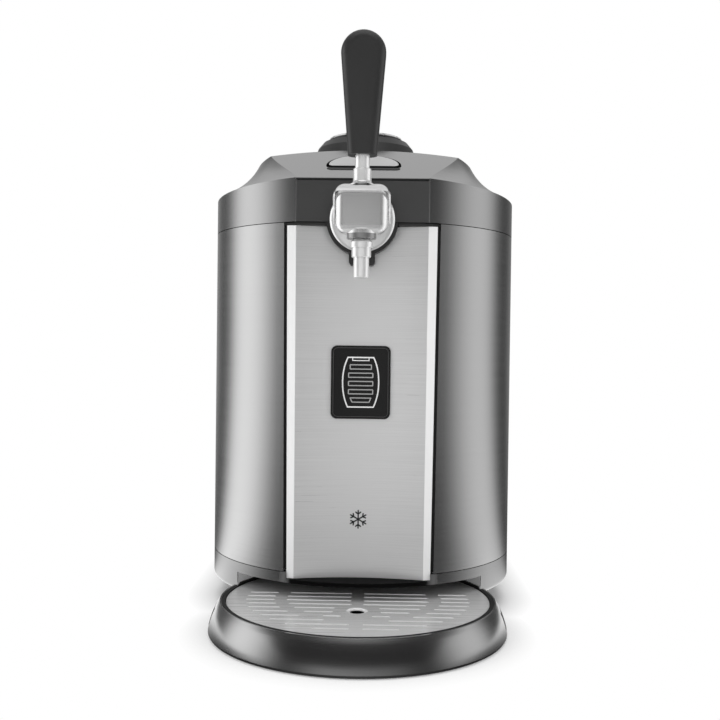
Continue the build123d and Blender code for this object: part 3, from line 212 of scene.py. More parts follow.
def place_in(tree):
    """The piece's own X, Y and Z."""
    place = node_in(tree, "ShaderNodeTexCoord")
    split = node_in(tree, "ShaderNodeSeparateXYZ")
    tree.links.new(place.outputs["Object"], split.inputs[0])
    return split.outputs[0], split.outputs[1], split.outputs[2]


def distance_of(tree, x, y):
    """The distance from the Z axis."""
    return math_of(tree, 'SQRT', math_of(tree, 'ADD', math_of(tree, 'MULTIPLY', x, x),
                                         math_of(tree, 'MULTIPLY', y, y)))


# ------------------------------------------------------------------ studio
# Directions round the room are shares of the half turn from the front, 0, to the rear, 1. Heights in
# the room are the Z part of a direction, 1 straight up. All of this is seen by reflections only, and
# it is set for the view from the front.
studio_walls = [(0.0, 0.34), (0.13, 0.32), (0.20, 0.16), (0.27, 0.05), (0.33, 0.08), (0.39, 0.38),
                (0.45, 0.74), (0.51, 0.90), (0.58, 0.92), (0.63, 0.62), (0.675, 0.14), (0.74, 0.04),
                (0.84, 0.12), (1.0, 0.55)]
wall_level = 1.6
wall_top, wall_blend = 0.10, 0.12
lamp_top = 0.40
lamp_turn = (0.28, 0.42)              # the walls' pattern rises to the lamps' height here
right_lamp_share = 0.66
side_blend = (-0.3, 0.3)
ceiling_level = 0.66
ceiling_height = (0.84, 0.96)
ceiling_behind = (-0.05, 0.35)
ceiling_aside = (0.42, 0.72)
loft_level, front_loft = 0.10, 0.035
loft_ahead = (-0.55, -0.15)
front_lamp = 1.30
front_lamp_ahead = (-0.35, -0.20)
front_lamp_foot, front_lamp_head = (0.72, 0.80), (0.90, 0.95)
room_level = 0.62                     # the even light on all that isn't a reflection

floor_radius = 6.0
paper_grey = 0.9
cabinet_middle_y = 0.0166             # the cabinet's round front turns about this place
cabinet_reach, cabinet_rear = 0.1280, 0.2100
tray_middle, tray_reach = (0, -0.1076, 0), 0.112
fade_width = 0.034
tray_surround = [(0.0, 0.06), (0.20, 0.02), (0.34, 0.03), (0.42, 0.07), (0.50, 0.24), (0.58, 0.60),
                 (0.68, 0.88), (0.80, 0.90), (1.0, 0.80)]
surround_end = (0.22, 0.40)           # the floor's own pattern round the tray ends here,
surround_rear = (-0.02, 0.06)         # and behind the cabinet's front


def turn_of(tree, x, y):
    """A direction's share of the half turn from the front to the rear."""
    toward = math_of(tree, 'MULTIPLY', y, -1.0)
    return math_of(tree, 'DIVIDE', math_of(tree, 'ARCTAN2', math_of(tree, 'ABSOLUTE', x), toward), pi)


def wall_glow(tree, x, y):
    """What polished metal sees in each direction round the room: the two tall lamps, dim between."""
    glow = math_of(tree, 'MULTIPLY', ramp_of(tree, turn_of(tree, x, y), studio_walls), wall_level)
    spread = math_of(tree, 'ADD', math_of(tree, 'ABSOLUTE', x), math_of(tree, 'ABSOLUTE', y))
    side = between(tree, math_of(tree, 'DIVIDE', x, spread), 1.0, right_lamp_share, *side_blend)
    return math_of(tree, 'MULTIPLY', glow, side)


def loft_glow(tree, x, y, z):
    """What polished metal sees above the walls: a ceiling to the rear, and a lamp high in front."""
    behind = between(tree, y, 0.0, ceiling_level - loft_level, *ceiling_behind)
    zenith = between(tree, z, 0.0, ceiling_level, *ceiling_height)
    overhead = math_of(tree, 'MAXIMUM', behind, zenith)
    middle = below(tree, math_of(tree, 'ABSOLUTE', x), *ceiling_aside)
    dim = between(tree, y, front_loft, loft_level, *loft_ahead)
    loft = math_of(tree, 'ADD', math_of(tree, 'MULTIPLY', overhead, middle), dim)
    lamp = between(tree, y, front_lamp, 0.0, *front_lamp_ahead)
    lamp = math_of(tree, 'MULTIPLY', lamp, above(tree, z, *front_lamp_foot))
    lamp = math_of(tree, 'MULTIPLY', lamp, below(tree, z, *front_lamp_head))
    return math_of(tree, 'MAXIMUM', loft, lamp)


def light_studio():
    """A white room. Polished metal sees tall soft lamps at its sides, a dim band at its front."""
    world = bpy.data.worlds.new("studio_world")
    bpy.context.scene.world = world
    world.use_nodes = True
    tree = world.node_tree
    glow = tree.nodes["Background"]
    place = node_in(tree, "ShaderNodeTexCoord")
    split = node_in(tree, "ShaderNodeSeparateXYZ")
    tree.links.new(place.outputs["Generated"], split.inputs[0])
    x, y, z = split.outputs
    raised = between(tree, turn_of(tree, x, y), 0.0, lamp_top - wall_top, *lamp_turn)
    height = above(tree, math_of(tree, 'SUBTRACT', z, raised), wall_top, wall_top + wall_blend)
    room = blend_of(tree, height, wall_glow(tree, x, y), loft_glow(tree, x, y, z))
    rays = node_in(tree, "ShaderNodeLightPath")
    seen = math_of(tree, 'MAXIMUM', rays.outputs["Is Camera Ray"], rays.outputs["Is Transmission Ray"])
    unseen = blend_of(tree, rays.outputs["Is Glossy Ray"], room_level, room)
    tree.links.new(blend_of(tree, seen, unseen, 1.0), glow.inputs["Strength"])
    glow.inputs["Color"].default_value = (1, 1, 1, 1)


def soft_lamp(name, place, aim, width, height, watts):
    data = bpy.data.lights.new(name, 'AREA')
    data.shape = 'RECTANGLE'
    data.size, data.size_y = width, height
    data.energy = watts
    lamp = bpy.data.objects.new(name, data)
    bpy.context.collection.objects.link(lamp)
    lamp.location = place
    lamp.rotation_mode = 'QUATERNION'
    lamp.rotation_quaternion = (Vector(aim) - Vector(place)).to_track_quat('-Z', 'Y')
    lamp.visible_camera = False
    lamp.visible_glossy = False


def distance_to(tree, middle):
    """How far a point lies from the middle."""
    place = node_in(tree, "ShaderNodeTexCoord")
    reach = node_in(tree, "ShaderNodeVectorMath", operation='DISTANCE')
    tree.links.new(place.outputs["Object"], reach.inputs[0])
    reach.inputs[1].default_value = middle
    return reach.outputs["Value"]


def paper_fade(tree, x, y, from_tray):
    """The paper turns to plain white a little way out from the cabinet and the tray."""
    before = math_of(tree, 'MINIMUM', math_of(tree, 'SUBTRACT', y, cabinet_middle_y), 0.0)
    beside = math_of(tree, 'SUBTRACT', distance_of(tree, x, before), cabinet_reach)
    beyond = math_of(tree, 'SUBTRACT', y, cabinet_rear)
    from_cabinet = math_of(tree, 'MAXIMUM', beside, beyond)
    nearest = math_of(tree, 'MINIMUM', from_cabinet, math_of(tree, 'SUBTRACT', from_tray, tray_reach))
    return above(tree, nearest, 0.0, fade_width)


def paper_glow(tree, x, y, from_tray):
    """What polished metal sees of the paper: the walls' pattern far out, dim close before the tray."""
    turn = turn_of(tree, x, math_of(tree, 'SUBTRACT', y, tray_middle[1]))
    near = math_of(tree, 'MULTIPLY', ramp_of(tree, turn, tray_surround), wall_level)
    far = math_of(tree, 'MAXIMUM', above(tree, from_tray, *surround_end), above(tree, y, *surround_rear))
    return blend_of(tree, far, near, wall_glow(tree, x, y))


def lay_floor():
    bpy.ops.object.select_all(action='DESELECT')
    bpy.ops.mesh.primitive_circle_add(vertices=96, radius=floor_radius, fill_type='NGON', location=(0, 0, 0))
    floor = bpy.context.object
    floor.name = "studio_floor"
    settle(floor)
    paper = bpy.data.materials.new("white_paper")
    paper.use_nodes = True
    tree = paper.node_tree
    tree.nodes.remove(tree.nodes["Principled BSDF"])
    out = tree.nodes["Material Output"]
    x, y, z = place_in(tree)
    matt = node_in(tree, "ShaderNodeBsdfDiffuse")
    matt.inputs["Color"].default_value = (paper_grey, paper_grey, paper_grey, 1)
    white = node_in(tree, "ShaderNodeEmission")
    rays = node_in(tree, "ShaderNodeLightPath")
    seen = math_of(tree, 'MAXIMUM', rays.outputs["Is Camera Ray"], rays.outputs["Is Transmission Ray"])
    from_tray = distance_to(tree, tray_middle)
    mirrored = paper_glow(tree, x, y, from_tray)
    level = blend_of(tree, rays.outputs["Is Glossy Ray"], 1.0, mirrored)
    tree.links.new(level, white.inputs["Strength"])
    share = math_of(tree, 'MULTIPLY', paper_fade(tree, x, y, from_tray), seen)
    share = math_of(tree, 'MAXIMUM', share, rays.outputs["Is Glossy Ray"])
    mix = node_in(tree, "ShaderNodeMixShader")
    tree.links.new(share, mix.inputs[0])
    tree.links.new(matt.outputs[0], mix.inputs[1])
    tree.links.new(white.outputs[0], mix.inputs[2])
    tree.links.new(mix.outputs[0], out.inputs["Surface"])
    coat(floor, paper)


light_studio()
lay_floor()
soft_lamp("left_softbox", place=(-1.5, -0.9, 1.0), aim=(0, 0, 0.2), width=0.9, height=1.5, watts=9)
soft_lamp("right_softbox", place=(1.5, -0.9, 1.0), aim=(0, 0, 0.2), width=0.9, height=1.5, watts=7)
soft_lamp("top_softbox", place=(0, 0.1, 1.9), aim=(0, 0, 0.2), width=1.4, height=1.4, watts=11)
soft_lamp("front_softbox", place=(0, -1.7, 0.5), aim=(0, 0, 0.1), width=1.2, height=0.7, watts=4)


# ------------------------------------------------------------------ finishes
relief_depth = 0.0002
fine_lines = (5, 5, 1500)             # brushing round the cabinet, as a stretch along X, Y and Z


def new_finish(name, colour, metallic, roughness):
    material = bpy.data.materials.new(name)
    material.use_nodes = True
    tree = material.node_tree
    surface = tree.nodes["Principled BSDF"]
    surface.inputs["Base Color"].default_value = (*colour, 1)
    surface.inputs["Metallic"].default_value = metallic
    surface.inputs["Roughness"].default_value = roughness
    return material, tree, surface


def grain(tree, stretch, detail, roughness):
    """Noise on the piece's own place, stretched along each axis. Returns 0 to 1."""
    place = node_in(tree, "ShaderNodeTexCoord")
    mapping = node_in(tree, "ShaderNodeMapping")
    mapping.inputs["Scale"].default_value = stretch
    noise = node_in(tree, "ShaderNodeTexNoise")
    noise.inputs["Scale"].default_value = 1.0
    noise.inputs["Detail"].default_value = detail
    noise.inputs["Roughness"].default_value = roughness
    tree.links.new(place.outputs["Object"], mapping.inputs["Vector"])
    tree.links.new(mapping.outputs[0], noise.inputs["Vector"])
    return noise.outputs["Fac"]


def tint(tree, surface, value, dark, light):
    """The colour runs from dark to light with the value."""
    ramp = node_in(tree, "ShaderNodeValToRGB")
    ramp.color_ramp.elements[0].position = noise_low
    ramp.color_ramp.elements[1].position = noise_high
    ramp.color_ramp.elements[0].color = (*dark, 1)
    ramp.color_ramp.elements[1].color = (*light, 1)
    tree.links.new(value, ramp.inputs[0])
    tree.links.new(ramp.outputs[0], surface.inputs["Base Color"])


def relief(tree, surface, value, strength):
    bump = node_in(tree, "ShaderNodeBump")
    bump.inputs["Strength"].default_value = strength
    bump.inputs["Distance"].default_value = relief_depth
    tree.links.new(value, bump.inputs["Height"])
    tree.links.new(bump.outputs[0], surface.inputs["Normal"])


def grey(level):
    return (level, level, level)


def brushed(name, level, low, high, stretch, depth, contrast, metallic=1.0):
    """Metal brushed one way: fine lines in its colour, gloss and relief, and slow handling marks."""
    material, tree, surface = new_finish(name, grey(level), metallic, (low + high) / 2)
    lines = grain(tree, stretch, 3.0, 0.6)
    marks = grain(tree, (9, 9, 9), 3.0, 0.55)
    mixed = math_of(tree, 'ADD', math_of(tree, 'MULTIPLY', lines, 0.75),
                    math_of(tree, 'MULTIPLY', marks, 0.25))
    tree.links.new(between(tree, mixed, low, high), surface.inputs["Roughness"])
    tint(tree, surface, lines, grey(level * (1 - contrast)), grey(level * (1 + contrast)))
    relief(tree, surface, lines, depth)
    return material


def moulded(name, level, roughness, pebble=1400, depth=0.10, spread=0.05, specular=0.5):
    """Moulded plastic: a fine even pebble, a little uneven gloss."""
    material, tree, surface = new_finish(name, grey(level), 0.0, roughness)
    pebbles = grain(tree, (pebble, pebble, pebble), 2.0, 0.5)
    cloud = grain(tree, (14, 14, 14), 3.0, 0.5)
    tree.links.new(between(tree, cloud, roughness - spread, roughness + spread), surface.inputs["Roughness"])
    tint(tree, surface, cloud, grey(level * 0.9), grey(level * 1.1))
    relief(tree, surface, pebbles, depth)
    surface.inputs["Specular IOR Level"].default_value = specular
    return material


def plated(name, colour, low, high, marks=30, metallic=1.0):
    """Plated or polished metal with faint wipe marks."""
    material, tree, surface = new_finish(name, colour, metallic, (low + high) / 2)
    wipes = grain(tree, (marks, marks, marks * 3), 4.0, 0.6)
    tree.links.new(between(tree, wipes, low, high), surface.inputs["Roughness"])
    tint(tree, surface, wipes, tuple(c * 0.96 for c in colour), colour)
    return material


side_steel = brushed("side_steel", 0.50, 0.20, 0.27, fine_lines, 0.04, 0.03)
lid_steel = brushed("lid_steel", 0.44, 0.24, 0.27, (420, 420, 420), 0.006, 0.01)
panel_steel = brushed("panel_steel", 0.80, 0.26, 0.38, (8, 60, 1900), 0.14, 0.06, metallic=0.62)
tray_steel = brushed("tray_steel", 0.44, 0.19, 0.24, fine_lines, 0.01, 0.02)
ring_steel = brushed("ring_steel", 0.34, 0.20, 0.27, fine_lines, 0.03, 0.03)
grille_steel = brushed("grille_steel", 0.57, 0.26, 0.30, (10, 1700, 60), 0.02, 0.015, metallic=0.22)
dial_metal = brushed("dial_metal", 0.10, 0.22, 0.32, (500, 500, 500), 0.03, 0.02)
tap_chrome = plated("tap_chrome", grey(0.82), 0.05, 0.11)
drum_chrome = plated("drum_chrome", grey(0.82), 0.09, 0.11)
hood_chrome = plated("hood_chrome", grey(0.82), 0.08, 0.11)
# The spout's chrome is near-white with little metal: a painted highlight.
spout_chrome_and_highlight = plated("spout_chrome_and_highlight", grey(0.93), 0.08, 0.12, metallic=0.55)
liner_aluminium = plated("liner_aluminium", grey(0.72), 0.26, 0.40, 20)
plated_steel = plated("plated_steel", grey(0.66), 0.20, 0.32)
galvanised_steel = plated("galvanised_steel", grey(0.55), 0.35, 0.5, 60)
brass_finish = plated("brass_finish", (0.72, 0.52, 0.24), 0.22, 0.34)
copper_finish = plated("copper_finish", (0.78, 0.42, 0.28), 0.20, 0.34)
button_plastic = moulded("button_plastic", 0.42, 0.34, 1800, 0.05)
black_plastic = moulded("black_plastic", 0.022, 0.42, 1500, 0.12)
dark_plastic = moulded("dark_plastic", 0.035, 0.36, 1800, 0.06, 0.05, 0.4)
handle_plastic = moulded("handle_plastic", 0.026, 0.40, 900, 0.10, 0.06)
# The fascia's finish is a darker copy of the lid's paint: painted shade on the lid's front face.
fascia_metal = moulded("fascia_metal", 0.045, 0.30, 2400, 0.04, 0.03)
window_plastic = moulded("window_plastic", 0.008, 0.14, 1200, 0.01, 0.03, 0.3)
bowl_plastic = moulded("bowl_plastic", 0.010, 0.5, 1500, 0.12, 0.05, 0.25)
hose_plastic = moulded("hose_plastic", 0.75, 0.35, 600, 0.03)
board_green = moulded("board_green", 0.05, 0.35)
foam_finish = moulded("foam_finish", 0.7, 0.9, 500, 0.4)
seal_rubber = moulded("seal_rubber", 0.03, 0.65, 1000, 0.15)
compressor_paint = moulded("compressor_paint", 0.02, 0.3, 500, 0.05)
# The base pan is made black instead of its galvanised finish: painted shade for what shows through the ends
# of the tray's opening.
base_shade_black = moulded("base_shade_black", 0.014, 0.5, 700, 0.08)
print_black = moulded("print_black", 0.012, 0.5)
print_white = moulded("print_white", 0.72, 0.5)
print_grey = moulded("print_grey", 0.32, 0.5)
print_dim = moulded("print_dim", 0.05, 0.5)


# ------------------------------------------------------------------ zones of a finish, and of painted light and shade
# Each pair is where the blend at a zone's edge begins and ends, on the piece's own X, Y, Z or radius.
crease_at_foot, crease_at_top = 0.0532, 0.0542      # the panel's fold, from its middle
panel_foot_z, panel_top_z = 0.05, 0.33
crease_blend = 0.0004
drum_front_y, drum_rolls_y, drum_neck_y = (-0.15445, -0.15300), (-0.1490, -0.1470), (-0.1260, -0.1250)
drum_line_share = 0.35                              # how far the brushed lines take their own colour
drum_boss_shade_y, drum_boss_shade_z = (-0.1300, -0.1296), (0.3204, 0.3208)
hood_brow_y, hood_stem_z = (-0.15295, -0.15255), (0.3604, 0.3612)
hood_arm_x, hood_arm_z = (0.0206, 0.0208), (0.3500, 0.3540)
lid_slope = radians(26)
button_side = (0.38105, 0.38118)                    # its height square to the lid's slope
drain_y, drain_ring_r = -0.1451, (0.0085, 0.0087)
slot_cut_z = (0.02528, 0.02536)
dial_rim_z, dial_crown_z = (0.42745, 0.42765), (0.42620, 0.42640)
ring_inside_r = (0.1352, 0.1358)
ring_middle_x, ring_front_y = (0.056, 0.066), (-0.06, -0.04)
lip_front_y, lip_edge_z, lip_end_x = (-0.1092, -0.1088), (0.36965, 0.36985), (0.0544, 0.0550)

zone_sockets = {"colour": "Base Color", "rough": "Roughness", "metal": "Metallic",
                "gloss": "Specular IOR Level"}


def zone(tree, share, **levels):
    """Inside a zone of the piece (share 1) the finish takes other levels of colour, gloss or metal."""
    surface = tree.nodes["Principled BSDF"]
    for name, level in levels.items():
        socket = surface.inputs[zone_sockets[name]]
        kind = 'RGBA' if name == "colour" else 'FLOAT'
        mix = node_in(tree, "ShaderNodeMix", data_type=kind)
        first, second = (mix.inputs[6], mix.inputs[7]) if kind == 'RGBA' else (mix.inputs[2], mix.inputs[3])
        tree.links.new(share, mix.inputs[0])
        if socket.links:
            tree.links.new(socket.links[0].from_socket, first)
        elif kind == 'RGBA':
            first.default_value = tuple(socket.default_value)
        else:
            first.default_value = socket.default_value
        second.default_value = (level, level, level, 1) if kind == 'RGBA' else level
        tree.links.new(mix.outputs[2 if kind == 'RGBA' else 0], socket)


def both_of(tree, first, second):
    """The zone that two zones have in common."""
    return math_of(tree, 'MULTIPLY', first, second)


def strips_polish_and_highlight():
    """The folded strips at the panel's sides are polished; their near-white, barely metallic colour is a
    painted highlight on the folds.
    """
    tree = panel_steel.node_tree
    x, _, z = place_in(tree)
    crease = between(tree, z, crease_at_foot, crease_at_top, panel_foot_z, panel_top_z)
    over = math_of(tree, 'SUBTRACT', math_of(tree, 'ABSOLUTE', x), crease)
    # Painted highlight: the strips are near-white and barely metallic.
    zone(tree, above(tree, over, 0.0, crease_blend), colour=0.90, rough=0.30, metal=0.15)


def drum_satin_and_painted_light():
    """The flat front of the tap's drum is brushed satin. Its rolled edges and its neck are polished chrome
    painted near-white with little metal, a painted highlight; the boss under the drum is painted grey, a
    painted shade.
    """
    tree = drum_chrome.node_tree
    _, y, z = place_in(tree)
    # Painted highlight: the rolled edges and the neck are near-white with little metal.
    zone(tree, below(tree, y, *drum_rolls_y), colour=0.95, rough=0.12, metal=0.55)
    zone(tree, above(tree, y, *drum_neck_y), colour=0.95, rough=0.14, metal=0.60)
    front = below(tree, y, *drum_front_y)
    lines = grain(tree, (12, 60, 2200), 3.0, 0.6)
    zone(tree, front, colour=0.56, rough=0.30, metal=0.72)
    zone(tree, both_of(tree, front, between(tree, lines, 0.0, drum_line_share)), colour=0.50)
    # Painted shade: the boss under the drum is painted grey.
    boss_shade = both_of(tree, below(tree, z, *drum_boss_shade_z), below(tree, y, *drum_boss_shade_y))
    zone(tree, boss_shade, colour=0.34, rough=0.2, metal=0.7)


def hood_polish_and_highlight():
    """The hood's front edge, its arms and the stem are polished, and painted near-white with little metal as
    a painted highlight.
    """
    tree = hood_chrome.node_tree
    x, y, z = place_in(tree)
    # Painted highlight: near-white with little metal on the front edge, the stem and the arms.
    zone(tree, below(tree, y, *hood_brow_y), colour=0.95, rough=0.25, metal=0.5)
    zone(tree, above(tree, z, *hood_stem_z), colour=0.95, rough=0.12, metal=0.50)
    aside = above(tree, math_of(tree, 'ABSOLUTE', x), *hood_arm_x)
    zone(tree, both_of(tree, aside, below(tree, z, *hood_arm_z)), colour=0.95, rough=0.3, metal=0.35)


def lip_edge_painted_shade():
    """The lip over the fascia is painted black on its narrow front edge, a painted shade for the gap below
    it.
    """
    tree = lid_steel.node_tree
    x, y, z = place_in(tree)
    edge = both_of(tree, below(tree, y, *lip_front_y), below(tree, z, *lip_edge_z))
    edge = both_of(tree, edge, below(tree, math_of(tree, 'ABSOLUTE', x), *lip_end_x))
    # Painted shade: the lip's front edge is black.
    zone(tree, edge, colour=0.02, rough=0.5, metal=0.0, gloss=0.2)


def button_sides_painted_shade():
    """The lid button is pale on its face only; its sides below the lid's slope are painted dark, a painted
    shade.
    """
    tree = button_plastic.node_tree
    _, y, z = place_in(tree)
    height = math_of(tree, 'ADD', math_of(tree, 'MULTIPLY', y, -sin(lid_slope)),
                     math_of(tree, 'MULTIPLY', z, cos(lid_slope)))
    # Painted shade: the button's sides below the slope are dark.
    zone(tree, below(tree, height, *button_side), colour=0.012, rough=0.5)


def lit_slot_walls_and_drain_ring():
    """The grille's slot walls are near-white and matt, a painted highlight where light falls on them; a
    polished ring round its drain is bright, partly a painted highlight.
    """
    tree = grille_steel.node_tree
    x, y, z = place_in(tree)
    # Painted highlight: the slot walls below the plate's top are near-white and matt.
    zone(tree, below(tree, z, *slot_cut_z), colour=0.98, rough=0.50, metal=0.0)
    # The drain ring is polished and painted near-white with little metal, partly a painted highlight.
    out = distance_of(tree, x, math_of(tree, 'SUBTRACT', y, drain_y))
    zone(tree, below(tree, out, *drain_ring_r), colour=0.95, rough=0.2, metal=0.2)


def dark_rim():
    """The dial's cap is dark round its side and pale on its domed top."""
    tree = dial_metal.node_tree
    _, _, z = place_in(tree)
    zone(tree, below(tree, z, *dial_rim_z), colour=0.03, rough=0.4, metal=0.0)
    zone(tree, above(tree, z, *dial_crown_z), colour=0.70, rough=0.35, metal=0.25)


def dark_inside():
    """The base ring is painted black inside, in the tray's opening, a painted shade in that recess; it is
    black below the front panel too.
    """
    tree = ring_steel.node_tree
    x, y, _ = place_in(tree)
    out = distance_of(tree, x, math_of(tree, 'SUBTRACT', y, cabinet_middle_y))
    middle = both_of(tree, below(tree, math_of(tree, 'ABSOLUTE', x), *ring_middle_x),
                     below(tree, y, *ring_front_y))
    inside = math_of(tree, 'MAXIMUM', below(tree, out, *ring_inside_r), middle)
    # Painted shade: black inside the ring, in the tray's opening; the band below the front panel is black
    # too.
    zone(tree, inside, colour=0.003, rough=0.6, metal=0.0, gloss=0.05)


strips_polish_and_highlight()
drum_satin_and_painted_light()
hood_polish_and_highlight()
lip_edge_painted_shade()
button_sides_painted_shade()
lit_slot_walls_and_drain_ring()
dark_rim()
dark_inside()

slot_finish = {
    "side_steel": side_steel, "panel_steel": panel_steel, "tap_chrome": tap_chrome,
    "grille_steel": grille_steel, "black_plastic": black_plastic, "dark_plastic": dark_plastic,
    "handle_plastic": handle_plastic, "fascia_metal": fascia_metal, "dial_metal": dial_metal,
    "window_plastic": window_plastic, "board_green": board_green, "liner_aluminium": liner_aluminium,
    "foam": foam_finish, "seal_rubber": seal_rubber, "hose_plastic": hose_plastic,
    "plated_steel": plated_steel, "galvanised_steel": galvanised_steel,
    "compressor_paint": compressor_paint, "brass": brass_finish, "copper": copper_finish,
}
node_finish = {
    "lid_shell": lid_steel, "tray_shell": tray_steel, "base_ring": ring_steel,
    "lid_button": button_plastic, "spout": spout_chrome_and_highlight, "drip_bowl": bowl_plastic,
    "base_pan": base_shade_black,
}
slot_of = {one["node"]: one["material_slot"] for one in frame["record"]["subparts"]}
body_of = {member: body for body, members in frame["record"]["behaviour"]["bodies"].items()
           for member in members}

for node, piece in frame["nodes"].items():
    coat(piece, node_finish.get(node, slot_finish[slot_of[node]]))


# ------------------------------------------------------------------ prints
print_y = -0.140                      # prints are drawn on this upright plane, before the front
gauge_z = 0.2030
gauge_line, tab_line, bar_line, edge_line = 0.0011, 0.0007, 0.0009, 0.0005
barrel_half_width, barrel_half_height, barrel_cut = 0.0155, 0.0298, 0.021
tab_up, tab_width, tab_height = 0.0193, 0.0142, 0.0034
bar_widths, bar_height = (0.0185, 0.021, 0.021, 0.021, 0.0185), 0.0044
top_bar, bar_step, foot_bar_share = 0.01265, 0.00685, 0.80
edge_width, edge_height, edge_round = 0.0458, 0.0573, 0.0040
barrel_lift, tab_lift, edge_lift, frost_lift = 0.00010, 0.00012, 0.00009, 0.00008


def flat_plate(name, x, z, width, height):
    """An upright rectangle facing the front."""
    bpy.ops.object.select_all(action='DESELECT')
    bpy.ops.mesh.primitive_plane_add(size=1, location=(x, print_y, z), rotation=(pi / 2, 0, 0))
    plate = bpy.context.object
    plate.name = name
    plate.scale = (width, height, 1)
    settle(plate)
    return plate


def round_corners(piece, radius, test=everywhere):
    select_where(piece, test, 'VERT')
    bpy.ops.mesh.bevel(affect='VERTICES', offset=radius, segments=5)
    out_of_edit()


def keep_outline(piece, line):
    """Only a line of this width is kept along the piece's edge."""
    select_where(piece, everywhere)
    bpy.ops.mesh.inset(thickness=line)
    bpy.ops.mesh.delete(type='FACE')
    out_of_edit()


def lay_on(piece, node, lift):
    """The flat print is pressed on to the curved face behind it, a hair in front."""
    select_where(piece, everywhere)
    bpy.ops.mesh.subdivide(number_cuts=3)
    out_of_edit()
    finish_modifier(piece, 'SHRINKWRAP', target=frame["nodes"][node], wrap_method='PROJECT',
                    use_project_y=True, use_negative_direction=False, use_positive_direction=True,
                    offset=lift)


def join_pieces(name, pieces):
    pick(*pieces)
    bpy.ops.object.join()
    whole = bpy.context.object
    whole.name = name
    settle(whole)
    return whole


def gauge_outline():
    """The barrel with the tab at its top."""
    bpy.ops.object.select_all(action='DESELECT')
    bpy.ops.mesh.primitive_circle_add(vertices=96, radius=1, fill_type='NGON',
                                      location=(0, print_y, gauge_z), rotation=(pi / 2, 0, 0))
    barrel = bpy.context.object
    barrel.scale = (barrel_half_width, barrel_half_height, 1)
    settle(barrel)
    for side in (-1, 1):
        select_where(barrel, everywhere)
        bpy.ops.mesh.bisect(plane_co=(0, print_y, gauge_z + side * barrel_cut), plane_no=(0, 0, side),
                            clear_outer=True)
        out_of_edit()
    round_corners(barrel, 0.0006, lambda place, along: abs(abs(place.z - gauge_z) - barrel_cut) < hair)
    keep_outline(barrel, gauge_line)
    tab = flat_plate("tab", 0, gauge_z + tab_up, tab_width, tab_height)
    keep_outline(tab, tab_line)
    coat(barrel, print_white)
    coat(tab, print_white)
    lay_on(barrel, "gauge_window", barrel_lift)
    lay_on(tab, "gauge_window", tab_lift)
    return join_pieces("gauge_barrel_print", [barrel, tab])


def gauge_bars():
    """Five level bars, the lowest narrower at its foot as the barrel is."""
    bars = []
    for index, width in enumerate(bar_widths):
        middle = gauge_z + top_bar - index * bar_step
        bar = flat_plate("bar", 0, middle, width, bar_height)
        if index == len(bar_widths) - 1:
            select_where(bar, lambda place, along: place.z < middle, 'VERT')
            bpy.ops.transform.resize(value=(foot_bar_share, 1, 1), center_override=(0, print_y, middle))
            out_of_edit()
        round_corners(bar, 0.0008)
        keep_outline(bar, bar_line)
        coat(bar, print_grey)
        lay_on(bar, "gauge_window", barrel_lift)
        bars.append(bar)
    return join_pieces("gauge_bars_print", bars)


def gauge_print():
    """A small barrel with five level bars, in outline, on the gauge window."""
    outline = gauge_outline()
    levels = gauge_bars()
    rim = flat_plate("gauge_edge_print", 0, gauge_z, edge_width, edge_height)
    round_corners(rim, edge_round)
    keep_outline(rim, edge_line)
    coat(rim, print_dim)
    lay_on(rim, "gauge_window", edge_lift)
    for piece in (outline, levels, rim):
        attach(piece, "cabinet")


def snowflake_print():
    """A plain six-armed frost mark under the gauge: arms with one pair of side twigs each."""
    middle = Vector((-0.0007, print_y, 0.0892))
    reach, line, twig = 0.00785, 0.00115, 0.0031
    twig_place, twig_turn, first_turn = reach * 0.55, radians(52), 30

    def stroke(along, length):
        """One round-ended stroke to the right of the mark's middle."""
        one = flat_plate("stroke", middle.x + along + length / 2, middle.z, length, line)
        round_corners(one, line * 0.45)
        return one

    def turn_all(piece, angle, about):
        pick(piece)
        in_edit()
        bpy.ops.mesh.select_all(action='SELECT')
        bpy.ops.transform.rotate(value=angle, orient_axis='Y', center_override=about)
        out_of_edit()

    arms = []
    for arm in range(6):
        parts = [stroke(0, reach)]
        for side in (-1, 1):
            branch = stroke(twig_place, twig)
            turn_all(branch, side * twig_turn, (middle.x + twig_place, middle.y, middle.z))
            parts.append(branch)
        whole = join_pieces("arm", parts)
        turn_all(whole, radians(arm * 60 + first_turn), tuple(middle))
        arms.append(whole)
    mark = join_pieces("frost_mark_print", arms)
    lay_on(mark, "front_panel", frost_lift)
    coat(mark, print_black)
    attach(mark, "cabinet")


# ------------------------------------------------------------------ screws at the back
cover_screw_x, cover_screw_heights = 0.102, (0.070, 0.190, 0.312)
cover_crown_y = 0.2214
hinge_x, leaf_screw_off = 0.060, 0.0143
cabinet_leaf_z, lid_leaf_z = 0.3175, 0.3440
leaf_crown_y = {"cabinet": 0.2228, "lid": 0.2226}


